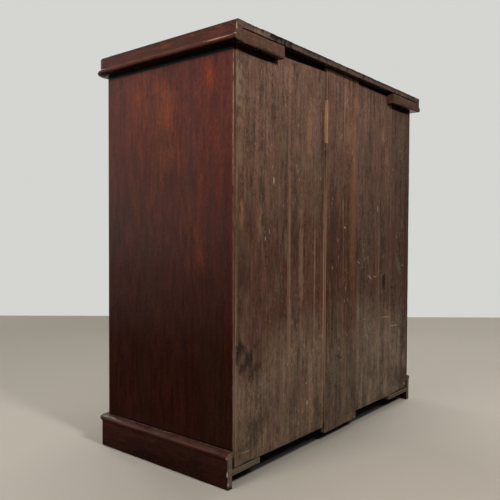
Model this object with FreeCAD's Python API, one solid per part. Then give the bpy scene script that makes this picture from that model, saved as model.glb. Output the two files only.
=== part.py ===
import FreeCAD, Part
import os
from collections import namedtuple

# A floor-standing chest of drawers on a plinth: two short drawers over three long ones.
# Millimetres, +X to the right as seen from the front, +Y to the back, +Z up.
# The origin is on the floor, at the centre of the whole outline with its knobs.

Vector = FreeCAD.Vector

# Carcass
HEIGHT = 1070.0
CARCASS_WIDTH = 956.0
CARCASS_DEPTH = 458.0
CARCASS_FOOT = 71.0
BOARD = 18.0
HOUSING = 6.0
CARCASS_ARRIS = 3.0
REBATE_LIP = 8.5
RAIL_DEPTH = 60.0
TOP_RAIL_HEIGHT = 36.5
BACK_RAIL_THICKNESS = 18.0
DIVIDER_THICKNESS = 20.0
BEARER_WIDTH = 24.0
CENTRE_BEARER_WIDTH = 60.0
GUIDE_WIDTH = 16.0
GUIDE_HEIGHT = 20.0

# Top board and its lining moulding, with drops measured from the board's underside
TOP_THICKNESS = 15.5
TOP_SIDE_OVERHANG = 19.0
TOP_FRONT_OVERHANG = 24.0
TOP_REAR_OVERHANG = 26.0
TOP_CORNER_RADIUS = 25.0
TOP_ARRIS = 3.0
FASCIA_DROP = 14.5
TOP_BEAD_REACH = 8.0
TOP_BEAD_MIDDLE_DROP = 24.0
LINING_DROP = 33.0
LINING_UNDERCUT_START = 4.0
REAR_BLOCK_GAP = 2.5
REAR_BLOCK_RIGHT_LENGTH = 162.5
REAR_BLOCK_LEFT_LENGTH = 183.0

# Plinth, with heights measured from the floor
PLINTH_HEIGHT = 86.0
PLINTH_THICKNESS = 17.0
PLINTH_CORNER_RADIUS = 16.0
PLINTH_FILLET_WIDTH = 3.5
PLINTH_GROOVE_WIDTH = 2.5
PLINTH_GROOVE_DEPTH = 1.5
PLINTH_BEAD_REACH = 22.5
PLINTH_BEAD_MIDDLE = 78.0
PLINTH_BEAD_FOOT = 70.0
PLINTH_FOOT_ROUND = 4.0
FOOT_BLOCK_BOTTOM = 30.0
FOOT_BLOCK_TOP = 43.0
FOOT_BLOCK_DEPTH = 70.0
FOOT_BLOCK_RIGHT_LENGTH = 104.0
FOOT_BLOCK_LEFT_LENGTH = 141.0
PACKING_WIDTH = 48.0
PACKING_SETBACK = 25.0
CORNER_BLOCK = 40.0
CORNER_BLOCK_CLEARANCE = 8.0
GLUE_BLOCK = 30.0
GLUE_BLOCK_LENGTH = 60.0
GLUE_BLOCK_X = 160.0

# Upright back boards from the right side to the left, as sawn by hand: each one's width with
# its joint, the height of its foot and head at its right and left edge, how far it stands
# proud, and the joint that it leaves open to the next board
BackBoard = namedtuple("BackBoard", "width foot head proud joint")
BACK_BOARDS = (
    BackBoard(207.5, (46.0, 44.5), (1036.0, 1040.0), 0.0, 0.7),
    BackBoard(180.0, (44.5, 43.0), (1040.0, 1045.0), 0.0, 2.5),
    BackBoard(97.0, (26.5, 26.5), (1054.5, 1054.5), 4.0, 0.7),
    BackBoard(86.0, (27.5, 27.0), (1054.5, 1054.5), 4.0, 1.0),
    BackBoard(232.0, (47.0, 44.0), (1050.0, 1046.0), 0.0, 0.7),
    BackBoard(136.5, (44.0, 43.5), (1046.0, 1042.0), 0.0, 0.0),
)
BACK_THICKNESS = 10.0
NAIL_HEAD = 4.0
NAIL_HEAD_DEPTH = 1.5
NAIL_SHANK = 2.2
NAIL_LENGTH = 26.0
NAIL_INSET_SHARE = 0.2
NAIL_HEIGHTS = (80.0, 1030.0)
EDGE_NAIL_HEIGHTS = (320.0, 560.0, 800.0)
EDGE_NAIL_INSET = 4.5

# Drawers: opening heights from the top down, and the lower row takes what is left
ROW_OPENINGS = {"top": 170.0, "upper": 200.0, "middle": 235.0}
DRAWER_LENGTH = 420.0
DRAWER_SIDE_GAP = 1.0
DRAWER_TOP_GAP = 1.5
FRONT_THICKNESS = 20.0
FRONT_ARRIS = 1.5
DRAWER_SIDE_THICKNESS = 11.0
DRAWER_SIDE_DROP = 4.0
DRAWER_BACK_THICKNESS = 10.0
DRAWER_BACK_DROP = 8.0
BOTTOM_THICKNESS = 7.0
BOTTOM_RAISE = 8.0
BOTTOM_TONGUE = 5.0
FRONT_LAP = 6.0
TAIL_PITCH = 45.0
TAIL_SHARE = 0.6
TAIL_SLOPE = 1.0 / 6.0
STOP_LENGTH = 40.0
STOP_DEPTH = 25.0
STOP_HEIGHT = 6.0
STOP_SPREAD = 0.35

# Turned knobs
KNOB_REACH = 46.0
KNOB_RADIUS = 25.0
KNOB_WIDEST = 30.0
KNOB_COLLAR_RADIUS = 18.0
KNOB_COLLAR = 3.0
KNOB_STEP_RADIUS = 15.0
KNOB_STEP = 6.0
KNOB_NECK_RADIUS = 10.5
KNOB_NECK = 13.0
KNOB_SHOULDER_RADIUS = 20.0
KNOB_SHOULDER = 20.0
SPIGOT_RADIUS = 9.0
SPIGOT_LENGTH = 18.0
SPIGOT_FIT = 0.15
LONG_KNOB_SPREAD = 235.0
SHORT_KNOB_SPREAD = 110.0

# Locks, with depths measured from the drawer front's inner face and drops from its top edge
LOCK_PLATE_WIDTH = 72.0
LOCK_PLATE_HEIGHT = 46.0
LOCK_METAL = 1.5
LOCK_TOP_DEPTH = 13.0
LOCK_CASE_WIDTH = 60.0
LOCK_CASE_HEIGHT = 42.0
LOCK_CASE_DEPTH = 12.0
BOLT_WIDTH = 18.0
BOLT_THICKNESS = 5.0
BOLT_TRAVEL = 9.0
BOLT_CLEARANCE = 0.4
BOLT_TOP_DROP = 0.2
BOLT_SHOULDER_DROP = LOCK_METAL + BOLT_TRAVEL + 1.0
BOLT_PLATE_WIDTH = 36.0
BOLT_PLATE_HEIGHT = 13.0
BOLT_TALON_WIDTH = 10.0
BOLT_TALON_HEIGHT = 4.0
BOLT_REST_WIDTH = 4.0
BOLT_REST_HEIGHT = 3.0
MORTISE_CLEARANCE = 1.0
MORTISE_DEPTH = BOLT_TRAVEL
KEYHOLE_DROP = 32.0
KEYHOLE_RADIUS = 3.4
KEYHOLE_SLOT = 4.0
KEYHOLE_SLOT_DROP = 8.5
KEY_PIN_RADIUS = 1.5
KEY_PIN_LENGTH = 8.0
LINING_WALL = 1.2
LINING_DEPTH = 6.0
LINING_FIT = 0.1

# Levels and planes that follow from the sizes above
TOTAL_DEPTH = KNOB_REACH + CARCASS_DEPTH + TOP_REAR_OVERHANG
FRONT_Y = KNOB_REACH - TOTAL_DEPTH / 2.0
BACK_Y = FRONT_Y + CARCASS_DEPTH
BACK_BOARD_Y = BACK_Y - BACK_THICKNESS
SIDE_X = CARCASS_WIDTH / 2.0
INNER_X = SIDE_X - BOARD
REBATE_X = SIDE_X - REBATE_LIP
HOUSED_X = INNER_X + HOUSING
BOARD_UNDERSIDE = HEIGHT - TOP_THICKNESS
OPENING_TOP = BOARD_UNDERSIDE - TOP_RAIL_HEIGHT
CARCASS_FLOOR = CARCASS_FOOT + BOARD
DRAWER_INNER_Y = FRONT_Y + FRONT_THICKNESS
BOLT_Y = DRAWER_INNER_Y - LOCK_CASE_DEPTH / 2.0

# Share of the way to its corner that a curve's handle goes to follow a quarter ellipse
QUARTER_HANDLE = 0.5523
TOLERANCE = 1e-4
MITRE_REACH = 60.0
MITRE_START = 5.0


def box(x_range, y_range, z_range):
    lows = [min(pair) for pair in (x_range, y_range, z_range)]
    sizes = [max(pair) - min(pair) for pair in (x_range, y_range, z_range)]
    return Part.makeBox(*sizes, Vector(*lows))


def polygon_prism(points, along):
    return Part.Face(Part.makePolygon(points + points[:1])).extrude(along)


def sawn_from_side(outline, x_range):
    """A board whose (y, z) outline runs from one x to the other."""
    points = [Vector(x_range[0], y, z) for y, z in outline]
    return polygon_prism(points, Vector(x_range[1] - x_range[0], 0, 0))


def quarter_round(start, corner, end):
    """A quarter ellipse that leaves start towards the corner and arrives at end from it."""
    poles = [start, start + (corner - start) * QUARTER_HANDLE, end + (corner - end) * QUARTER_HANDLE, end]
    curve = Part.BezierCurve()
    curve.setPoles(poles)
    return curve.toShape()


def profile_face(*steps):
    """A face in the XZ plane. A step is an (x, z) point, or a (corner, end) pair for a round."""
    edges = []
    here = Vector(steps[0][0], 0, steps[0][1])
    for step in steps[1:] + steps[:1]:
        if isinstance(step[0], tuple):
            corner, end = (Vector(x, 0, z) for x, z in step)
            edges.append(quarter_round(here, corner, end))
        else:
            end = Vector(step[0], 0, step[1])
            edges.append(Part.makeLine(here, end))
        here = end
    return Part.Face(Part.Wire(edges))


def round_edges(shape, radius, wanted):
    """The shape with a round on every edge whose bounding box is wanted."""
    return shape.makeFillet(radius, [edge for edge in shape.Edges if wanted(edge.BoundBox)])


def near(value, target):
    return abs(value - target) < TOLERANCE


def centred(middle, width):
    return (middle - width / 2.0, middle + width / 2.0)


def mirrored(shape):
    return shape.mirror(Vector(0, 0, 0), Vector(1, 0, 0))


def row_levels():
    """The (floor, ceiling) of each row's opening, from the top down."""
    levels = {}
    ceiling = OPENING_TOP
    for row, opening in ROW_OPENINGS.items():
        levels[row] = (ceiling - opening, ceiling)
        ceiling -= opening + BOARD
    levels["lower"] = (CARCASS_FLOOR, ceiling)
    return levels


LEVELS = row_levels()
DRAWERS = {
    "top_left": ("top", -INNER_X, -DIVIDER_THICKNESS / 2.0),
    "top_right": ("top", DIVIDER_THICKNESS / 2.0, INNER_X),
    "upper": ("upper", -INNER_X, INNER_X),
    "middle": ("middle", -INNER_X, INNER_X),
    "lower": ("lower", -INNER_X, INNER_X),
}


def carcass_side():
    """The right side board, with its rebate for the back boards and a rounded front arris."""
    heights = (CARCASS_FOOT, BOARD_UNDERSIDE)
    board = box((INNER_X, SIDE_X), (FRONT_Y, BACK_Y), heights)
    rebate = box((INNER_X, REBATE_X), (BACK_BOARD_Y, BACK_Y), heights)
    board = round_edges(board, CARCASS_ARRIS, lambda b: near(b.XMin, SIDE_X) and near(b.YMax, FRONT_Y))
    return board.cut(rebate)


def carcass_bottom():
    return box((-HOUSED_X, HOUSED_X), (FRONT_Y, BACK_BOARD_Y), (CARCASS_FOOT, CARCASS_FLOOR))


def front_rail(z_range):
    return box((-HOUSED_X, HOUSED_X), (FRONT_Y, FRONT_Y + RAIL_DEPTH), z_range)


def back_rail():
    depths = (BACK_BOARD_Y - BACK_RAIL_THICKNESS, BACK_BOARD_Y)
    return box((-HOUSED_X, HOUSED_X), depths, (OPENING_TOP, BOARD_UNDERSIDE))


def centre_divider():
    floor, ceiling = LEVELS["top"]
    heights = (floor - HOUSING, ceiling + HOUSING)
    return box(centred(0, DIVIDER_THICKNESS), (FRONT_Y, FRONT_Y + RAIL_DEPTH), heights)


def drawer_bearers():
    """Runners behind the rails, kickers under the top, and the short drawers' guide."""
    edge_x = (INNER_X - BEARER_WIDTH, INNER_X)
    centre_x = centred(0, CENTRE_BEARER_WIDTH)
    runner_y = (FRONT_Y + RAIL_DEPTH, BACK_BOARD_Y)
    kicker_y = (FRONT_Y + RAIL_DEPTH, BACK_BOARD_Y - BACK_RAIL_THICKNESS)
    kicker_z = (OPENING_TOP, OPENING_TOP + BOARD)
    top_floor = LEVELS["top"][0]
    pieces = [box(centre_x, runner_y, (top_floor - BOARD, top_floor)), box(centre_x, kicker_y, kicker_z)]
    pieces.append(box(centred(0, GUIDE_WIDTH), runner_y, (top_floor, top_floor + GUIDE_HEIGHT)))
    edges = [box(edge_x, runner_y, (LEVELS[row][0] - BOARD, LEVELS[row][0])) for row in ROW_OPENINGS]
    edges.append(box(edge_x, kicker_y, kicker_z))
    return pieces + edges + [mirrored(edge) for edge in edges]


def drawer_stops():
    """Two small blocks behind each drawer front, low enough to pass under the drawer bottom."""
    stops = []
    for row, low_x, high_x in DRAWERS.values():
        floor = LEVELS[row][0]
        middle = (low_x + high_x) / 2.0
        for side in (-1, 1):
            widths = centred(middle + side * STOP_SPREAD * (high_x - low_x), STOP_LENGTH)
            depths = (DRAWER_INNER_Y, DRAWER_INNER_Y + STOP_DEPTH)
            stops.append(box(widths, depths, (floor, floor + STOP_HEIGHT)))
    return stops


def top_board():
    """The overhanging top: rounded front corners, a softened upper edge and a plain sawn back edge."""
    reach_x = SIDE_X + TOP_SIDE_OVERHANG
    front = FRONT_Y - TOP_FRONT_OVERHANG
    rear = BACK_Y + TOP_REAR_OVERHANG
    board = box((-reach_x, reach_x), (front, rear), (BOARD_UNDERSIDE, HEIGHT))
    board = round_edges(board, TOP_CORNER_RADIUS, lambda b: near(b.XLength, 0) and near(b.YMax, front))
    return round_edges(board, TOP_ARRIS, lambda b: near(b.ZMin, HEIGHT) and not near(b.YMin, rear))


def edge_moulding(profile, face_x, face_y, rear_y, corner_offset):
    """A moulding round the front and both sides, and its front third between the mitres.

    The profile's x is measured outwards from the faces. Each front corner turns about an
    upright axis that lies corner_offset outside both faces.
    """
    turn_x = face_x + corner_offset
    turn_y = face_y - corner_offset
    bounds = profile.BoundBox
    side = profile.translated(Vector(face_x, turn_y, 0)).extrude(Vector(0, rear_y - turn_y, 0))
    clear_of_axis = box((corner_offset, bounds.XMax), (-1, 1), (bounds.ZMin, bounds.ZMax))
    turned = profile.common(clear_of_axis).translated(Vector(face_x, turn_y, 0))
    corner = turned.revolve(Vector(turn_x, turn_y, 0), Vector(0, 0, 1), -90)
    facing = profile.rotated(Vector(0, 0, 0), Vector(0, 0, 1), -90)
    front = facing.translated(Vector(-turn_x, face_y, 0)).extrude(Vector(2 * turn_x, 0, 0))
    ring = front.fuse([side, corner, mirrored(side), mirrored(corner)]).removeSplitter()
    near_x = turn_x - MITRE_START
    near_y = turn_y + MITRE_START
    far_x = turn_x + MITRE_REACH
    far_y = turn_y - MITRE_REACH
    plan = [(-near_x, near_y), (near_x, near_y), (far_x, far_y), (-far_x, far_y)]
    points = [Vector(x, y, bounds.ZMin) for x, y in plan]
    wedge = polygon_prism(points, Vector(0, 0, bounds.ZLength))
    return ring, wedge


def mitred(ring, wedge):
    """The ring's front, left and right pieces, parted at the mitres."""
    right_half = box((0, ring.BoundBox.XMax), (ring.BoundBox.YMin, ring.BoundBox.YMax), (0, HEIGHT))
    sides = ring.cut(wedge)
    return ring.common(wedge), sides.cut(right_half), sides.common(right_half)


def top_mouldings(carcass_sides):
    """Linings under the top's edge: a fascia flush with the board over a drooping bead."""
    fascia_z = BOARD_UNDERSIDE - FASCIA_DROP
    middle_z = BOARD_UNDERSIDE - TOP_BEAD_MIDDLE_DROP
    foot_z = BOARD_UNDERSIDE - LINING_DROP
    reach = TOP_SIDE_OVERHANG + TOP_BEAD_REACH
    profile = profile_face(
        (0, foot_z),
        (0, BOARD_UNDERSIDE),
        (TOP_SIDE_OVERHANG, BOARD_UNDERSIDE),
        (TOP_SIDE_OVERHANG, fascia_z),
        ((reach, fascia_z), (reach, middle_z)),
        ((reach, foot_z), (LINING_UNDERCUT_START, foot_z)),
    )
    backing = TOP_FRONT_OVERHANG - TOP_SIDE_OVERHANG
    rear_y = BACK_Y + TOP_REAR_OVERHANG
    corner_offset = TOP_SIDE_OVERHANG - TOP_CORNER_RADIUS
    ring, wedge = edge_moulding(profile, SIDE_X, FRONT_Y - backing, rear_y, corner_offset)
    backing_strip = box((-SIDE_X, SIDE_X), (FRONT_Y - backing, FRONT_Y), (foot_z, BOARD_UNDERSIDE))
    ring = ring.fuse(backing_strip).cut(Part.makeCompound(carcass_sides)).removeSplitter()
    return mitred(ring, wedge)


def rear_lining_blocks():
    """Two short blocks of unequal length under the top's back edge."""
    depths = (BACK_Y, BACK_Y + TOP_REAR_OVERHANG)
    heights = (BOARD_UNDERSIDE - LINING_DROP, BOARD_UNDERSIDE - REAR_BLOCK_GAP)
    right = box((SIDE_X - REAR_BLOCK_RIGHT_LENGTH, SIDE_X), depths, heights)
    left = box((-SIDE_X, REAR_BLOCK_LEFT_LENGTH - SIDE_X), depths, heights)
    return [right, left]


def plinth():
    """Plinth boards with a fillet, a groove and a round bead along the top."""
    groove_end = PLINTH_FILLET_WIDTH + PLINTH_GROOVE_WIDTH
    groove_z = PLINTH_HEIGHT - PLINTH_GROOVE_DEPTH
    profile = profile_face(
        (0, 0),
        (0, PLINTH_HEIGHT),
        (PLINTH_FILLET_WIDTH, PLINTH_HEIGHT),
        (PLINTH_FILLET_WIDTH, groove_z),
        (groove_end, groove_z),
        (groove_end, PLINTH_HEIGHT),
        ((PLINTH_BEAD_REACH, PLINTH_HEIGHT), (PLINTH_BEAD_REACH, PLINTH_BEAD_MIDDLE)),
        ((PLINTH_BEAD_REACH, PLINTH_BEAD_FOOT), (PLINTH_THICKNESS, PLINTH_BEAD_FOOT)),
        (PLINTH_THICKNESS, PLINTH_FOOT_ROUND),
        ((PLINTH_THICKNESS, 0), (PLINTH_THICKNESS - PLINTH_FOOT_ROUND, 0)),
    )
    corner_offset = PLINTH_THICKNESS - PLINTH_CORNER_RADIUS
    return mitred(*edge_moulding(profile, SIDE_X, FRONT_Y, BACK_Y, corner_offset))


def plinth_blocks():
    """Rear foot blocks, the packing on them, and the glue blocks inside the plinth."""
    foot_y = (BACK_Y - FOOT_BLOCK_DEPTH, BACK_Y)
    foot_z = (FOOT_BLOCK_BOTTOM, FOOT_BLOCK_TOP)
    right_foot = box((SIDE_X - FOOT_BLOCK_RIGHT_LENGTH, SIDE_X), foot_y, foot_z)
    left_foot = box((-SIDE_X, FOOT_BLOCK_LEFT_LENGTH - SIDE_X), foot_y, foot_z)
    packing_y = (BACK_Y - FOOT_BLOCK_DEPTH, BACK_Y - PACKING_SETBACK)
    packing = box((SIDE_X - PACKING_WIDTH, SIDE_X), packing_y, (FOOT_BLOCK_TOP, CARCASS_FOOT))
    corner_y = (FRONT_Y, FRONT_Y + CORNER_BLOCK)
    corner = box((SIDE_X - CORNER_BLOCK, SIDE_X), corner_y, (CORNER_BLOCK_CLEARANCE, CARCASS_FOOT))
    glue_z = (CARCASS_FOOT - GLUE_BLOCK, CARCASS_FOOT)
    front = box(centred(GLUE_BLOCK_X, GLUE_BLOCK_LENGTH), (FRONT_Y, FRONT_Y + GLUE_BLOCK), glue_z)
    side = box((SIDE_X - GLUE_BLOCK, SIDE_X), centred(0, GLUE_BLOCK_LENGTH), glue_z)
    paired = [packing, corner, front, side]
    return [right_foot, left_foot] + paired + [mirrored(block) for block in paired]


def nail(x, z, surface_y):
    """A square cut nail driven flush into a surface that faces the back."""
    head = box(centred(x, NAIL_HEAD), (surface_y - NAIL_HEAD_DEPTH, surface_y), centred(z, NAIL_HEAD))
    shank = box(centred(x, NAIL_SHANK), (surface_y - NAIL_LENGTH, surface_y), centred(z, NAIL_SHANK))
    return head.fuse(shank).removeSplitter()


def back_boards_and_nails():
    boards = []
    nails = []
    right = REBATE_X
    for board in BACK_BOARDS:
        left = right - board.width
        surface = BACK_Y + board.proud
        outline = [(right, board.foot[0]), (left + board.joint, board.foot[1])]
        outline += [(left + board.joint, board.head[1]), (right, board.head[0])]
        points = [Vector(x, BACK_BOARD_Y, z) for x, z in outline]
        boards.append(polygon_prism(points, Vector(0, surface - BACK_BOARD_Y, 0)))
        for share in (NAIL_INSET_SHARE, 1.0 - NAIL_INSET_SHARE):
            x = right - share * board.width
            nails += [nail(x, z, surface) for z in NAIL_HEIGHTS]
        right = left
    edge_x = REBATE_X - EDGE_NAIL_INSET
    nails += [nail(side * edge_x, z, BACK_Y) for side in (-1, 1) for z in EDGE_NAIL_HEIGHTS]
    return boards, nails


def dovetails(root_y, end_y, low, high):
    """The (y, z) outline of a row of tails from low to high, with half a pin at each end."""
    count = round((high - low) / TAIL_PITCH)
    pitch = (high - low) / count
    half = pitch * TAIL_SHARE / 2.0
    flare = abs(end_y - root_y) * TAIL_SLOPE
    points = [(root_y, low)]
    for index in range(count):
        middle = low + pitch * (index + 0.5)
        points += [(root_y, middle - half), (end_y, middle - half - flare)]
        points += [(end_y, middle + half + flare), (root_y, middle + half)]
    return points + [(root_y, high)]


def knob(x, z):
    """A turned knob: spigot, collar, neck and domed head, turned about an axis along Y."""
    profile = profile_face(
        (0, SPIGOT_LENGTH),
        (SPIGOT_RADIUS, SPIGOT_LENGTH),
        (SPIGOT_RADIUS, 0),
        (KNOB_COLLAR_RADIUS, 0),
        (KNOB_COLLAR_RADIUS, -KNOB_COLLAR),
        ((KNOB_COLLAR_RADIUS, -KNOB_STEP), (KNOB_STEP_RADIUS, -KNOB_STEP)),
        ((KNOB_NECK_RADIUS, -KNOB_STEP), (KNOB_NECK_RADIUS, -KNOB_NECK)),
        ((KNOB_NECK_RADIUS, -KNOB_SHOULDER), (KNOB_SHOULDER_RADIUS, -KNOB_SHOULDER)),
        ((KNOB_RADIUS, -KNOB_SHOULDER), (KNOB_RADIUS, -KNOB_WIDEST)),
        ((KNOB_RADIUS, -KNOB_REACH), (0, -KNOB_REACH)),
    )
    turned = profile.revolve(Vector(0, 0, 0), Vector(0, 0, 1), 360)
    turned.rotate(Vector(0, 0, 0), Vector(1, 0, 0), -90)
    return turned.translated(Vector(x, FRONT_Y, z))


def keyhole(x, z, grow, y_range):
    """A round eye over a slot, grown outwards by the given amount, along Y."""
    depth = y_range[1] - y_range[0]
    radius = KEYHOLE_RADIUS + grow
    half = KEYHOLE_SLOT / 2.0 + grow
    eye = Part.makeCylinder(radius, depth, Vector(x, y_range[0], z), Vector(0, 1, 0))
    slot = box((x - half, x + half), y_range, (z - KEYHOLE_SLOT_DROP - grow, z))
    return eye.fuse(slot).removeSplitter()


def lock_and_bolt(x, top):
    """A drawer lock let into the front's inner face: its recess, case, keyhole lining and bolt."""
    inner = DRAWER_INNER_Y
    eye_z = top - KEYHOLE_DROP
    plate = box(centred(x, LOCK_PLATE_WIDTH), (inner - LOCK_METAL, inner), (top - LOCK_PLATE_HEIGHT, top))
    selvedge = box(centred(x, LOCK_PLATE_WIDTH), (inner - LOCK_TOP_DEPTH, inner), (top - LOCK_METAL, top))
    case_y = (inner - LOCK_CASE_DEPTH, inner)
    case = box(centred(x, LOCK_CASE_WIDTH), case_y, (top - LOCK_CASE_HEIGHT, top))
    recess = case.fuse([plate, selvedge]).removeSplitter()

    hollow_x = centred(x, LOCK_CASE_WIDTH - 2 * LOCK_METAL)
    hollow_y = (case_y[0] + LOCK_METAL, inner - LOCK_METAL)
    hollow = box(hollow_x, hollow_y, (top - LOCK_CASE_HEIGHT + LOCK_METAL, top - LOCK_METAL))
    slot_x = centred(x, BOLT_WIDTH + 2 * BOLT_CLEARANCE)
    slot_y = centred(BOLT_Y, BOLT_THICKNESS + 2 * BOLT_CLEARANCE)
    slot = box(slot_x, slot_y, (top - LOCK_METAL, top))
    eye = keyhole(x, eye_z, 0, (case_y[0], hollow_y[0]))
    shell = recess.cut(hollow).cut(slot).cut(eye)
    pin_start = Vector(x, hollow_y[1] - KEY_PIN_LENGTH, eye_z)
    pin = Part.makeCylinder(KEY_PIN_RADIUS, KEY_PIN_LENGTH, pin_start, Vector(0, 1, 0))
    bolt_foot = top - BOLT_SHOULDER_DROP - BOLT_PLATE_HEIGHT
    rests = [pin]
    for side in (-1, 1):
        rest_x = centred(x + side * (BOLT_PLATE_WIDTH - BOLT_REST_WIDTH) / 2.0, BOLT_REST_WIDTH)
        rests.append(box(rest_x, hollow_y, (bolt_foot - BOLT_REST_HEIGHT, bolt_foot)))
    shell = shell.fuse(rests).removeSplitter()

    bolt_y = centred(BOLT_Y, BOLT_THICKNESS)
    head = box(centred(x, BOLT_WIDTH), bolt_y, (top - BOLT_SHOULDER_DROP, top - BOLT_TOP_DROP))
    body = box(centred(x, BOLT_PLATE_WIDTH), bolt_y, (bolt_foot, top - BOLT_SHOULDER_DROP))
    talon = box(centred(x, BOLT_TALON_WIDTH), bolt_y, (bolt_foot, bolt_foot + BOLT_TALON_HEIGHT))
    bolt = head.fuse(body).removeSplitter().cut(talon)

    lining_y = (FRONT_Y, FRONT_Y + LINING_DEPTH)
    lining = keyhole(x, eye_z, LINING_WALL, lining_y).cut(keyhole(x, eye_z, 0, lining_y))
    wood_hole = keyhole(x, eye_z, LINING_WALL + LINING_FIT, (FRONT_Y, case_y[0]))
    return recess.fuse(wood_hole), [shell, lining], bolt


def bolt_mortise(x, ceiling):
    """The pocket in the rail above that takes the raised bolt."""
    widths = centred(x, BOLT_WIDTH + 2 * MORTISE_CLEARANCE)
    depths = centred(BOLT_Y, BOLT_THICKNESS + 2 * MORTISE_CLEARANCE)
    return box(widths, depths, (ceiling, ceiling + MORTISE_DEPTH))


def drawer(name):
    """Every piece of one drawer, by the last part of its node name."""
    row, opening_low, opening_high = DRAWERS[name]
    floor, ceiling = LEVELS[row]
    low_x = opening_low + DRAWER_SIDE_GAP
    high_x = opening_high - DRAWER_SIDE_GAP
    middle_x = (low_x + high_x) / 2.0
    inner_y = DRAWER_INNER_Y
    end_y = FRONT_Y + DRAWER_LENGTH
    front_top = ceiling - DRAWER_TOP_GAP
    side_top = front_top - DRAWER_SIDE_DROP
    back_foot = floor + BOTTOM_RAISE + BOTTOM_THICKNESS
    back_top = side_top - DRAWER_BACK_DROP

    outline = dovetails(inner_y, FRONT_Y + FRONT_LAP, floor, side_top)
    back_edge = [(end_y, floor), (end_y, back_foot)]
    back_edge += dovetails(end_y - DRAWER_BACK_THICKNESS, end_y, back_foot, back_top)
    back_edge += [(end_y, back_top), (end_y, side_top)]
    outline += back_edge[::-1]
    sides = [sawn_from_side(outline, (low_x, low_x + DRAWER_SIDE_THICKNESS))]
    sides.append(sawn_from_side(outline, (high_x - DRAWER_SIDE_THICKNESS, high_x)))

    groove_x = DRAWER_SIDE_THICKNESS - BOTTOM_TONGUE
    bottom_y = (inner_y - BOTTOM_TONGUE, end_y)
    bottom = box((low_x + groove_x, high_x - groove_x), bottom_y, (floor + BOTTOM_RAISE, back_foot))
    back = box((low_x, high_x), (end_y - DRAWER_BACK_THICKNESS, end_y), (back_foot, back_top))
    back = back.cut(Part.makeCompound(sides))

    recess, lock, bolt = lock_and_bolt(middle_x, front_top)
    knob_z = (floor + front_top) / 2.0
    spread = SHORT_KNOB_SPREAD if row == "top" else LONG_KNOB_SPREAD
    knob_places = [middle_x - spread, middle_x + spread]
    spigot_radius = SPIGOT_RADIUS + SPIGOT_FIT
    forward = Vector(0, 1, 0)
    holes = [
        Part.makeCylinder(spigot_radius, FRONT_THICKNESS, Vector(x, FRONT_Y, knob_z), forward)
        for x in knob_places
    ]
    front = box((low_x, high_x), (FRONT_Y, inner_y), (floor, front_top))
    front = round_edges(front, FRONT_ARRIS, lambda b: near(b.YMax, FRONT_Y))
    front = front.cut(Part.makeCompound(sides + [bottom])).cut(recess).cut(Part.makeCompound(holes))
    return {
        "front": [front],
        "sides": [side.cut(bottom) for side in sides],
        "back": [back],
        "bottom": [bottom],
        "knobs": [knob(x, knob_z) for x in knob_places],
        "lock": lock,
        "bolt": [bolt],
    }


def carcass():
    """Every fixed piece of the chest, by node name."""
    rails = [front_rail((LEVELS[row][0] - BOARD, LEVELS[row][0])) for row in ROW_OPENINGS]
    top_rail = front_rail((OPENING_TOP, BOARD_UNDERSIDE))
    rear_rail = back_rail()
    bottom = carcass_bottom()
    divider = centre_divider()
    boards, nails = back_boards_and_nails()
    all_nails = Part.makeCompound(nails)

    housed = Part.makeCompound(rails + [top_rail, rear_rail, bottom])
    right_side = carcass_side().cut(housed).cut(all_nails)
    left_side = mirrored(carcass_side()).cut(housed).cut(all_nails)
    mortises = []
    for row, low_x, high_x in DRAWERS.values():
        mortises.append(bolt_mortise((low_x + high_x) / 2.0, LEVELS[row][1]))
    pockets = Part.makeCompound(mortises + [divider])

    top_front, top_left, top_right = top_mouldings([left_side, right_side])
    plinth_front, plinth_left, plinth_right = plinth()
    nodes = {
        "side_left": [left_side],
        "side_right": [right_side],
        "carcass_bottom": [bottom.cut(all_nails)],
        "top_board": [top_board()],
        "top_moulding_front": [top_front],
        "top_moulding_left": [top_left],
        "top_moulding_right": [top_right],
        "rear_lining_blocks": rear_lining_blocks(),
        "top_rail_front": [top_rail.cut(pockets)],
        "top_rail_back": [rear_rail.cut(all_nails)],
        "drawer_rails": [rail.cut(pockets) for rail in rails],
        "centre_divider": [divider],
        "drawer_bearers": drawer_bearers(),
        "drawer_stops": drawer_stops(),
        "back_nails": nails,
        "plinth_front": [plinth_front],
        "plinth_left": [plinth_left],
        "plinth_right": [plinth_right],
        "plinth_blocks": plinth_blocks(),
    }
    for number, board in enumerate(boards, 1):
        nodes[f"back_board_{number}"] = [board.cut(all_nails)]
    return nodes


def export(name, pieces):
    solids = [solid for piece in pieces for solid in piece.Solids]
    if not all(solid.isValid() for solid in solids):
        raise ValueError(f"{name} holds a broken solid")
    shape = solids[0] if len(solids) == 1 else Part.makeCompound(solids)
    shape.exportStep(os.path.join("parts", f"{name}.step"))
    bounds = shape.BoundBox
    low = [round(value, 1) for value in (bounds.XMin, bounds.YMin, bounds.ZMin)]
    high = [round(value, 1) for value in (bounds.XMax, bounds.YMax, bounds.ZMax)]
    print(f"{name}: {len(solids)} solids, from {low} to {high}")


def main():
    os.makedirs("parts", exist_ok=True)
    for name, pieces in carcass().items():
        export(name, pieces)
    for name in DRAWERS:
        for piece_name, pieces in drawer(name).items():
            export(f"{name}_drawer_{piece_name}", pieces)


main()
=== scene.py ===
"""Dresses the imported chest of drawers: worn timber, finishes, fittings and the studio.

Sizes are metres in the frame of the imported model: +X to the right as seen from the front, +Y to
the back, +Z up, with the origin on the floor. Only marks and the knob's outline, which are long
lists, are in millimetres. A paint is a code of two digits each for red, green and blue, or a
linear colour.
"""

import logging
import math
from abc import ABC, abstractmethod
from dataclasses import dataclass
from enum import Enum
from functools import cache, cached_property
from typing import Callable, Iterator

import bmesh
import bpy
from mathutils import Matrix, Vector, noise


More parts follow.
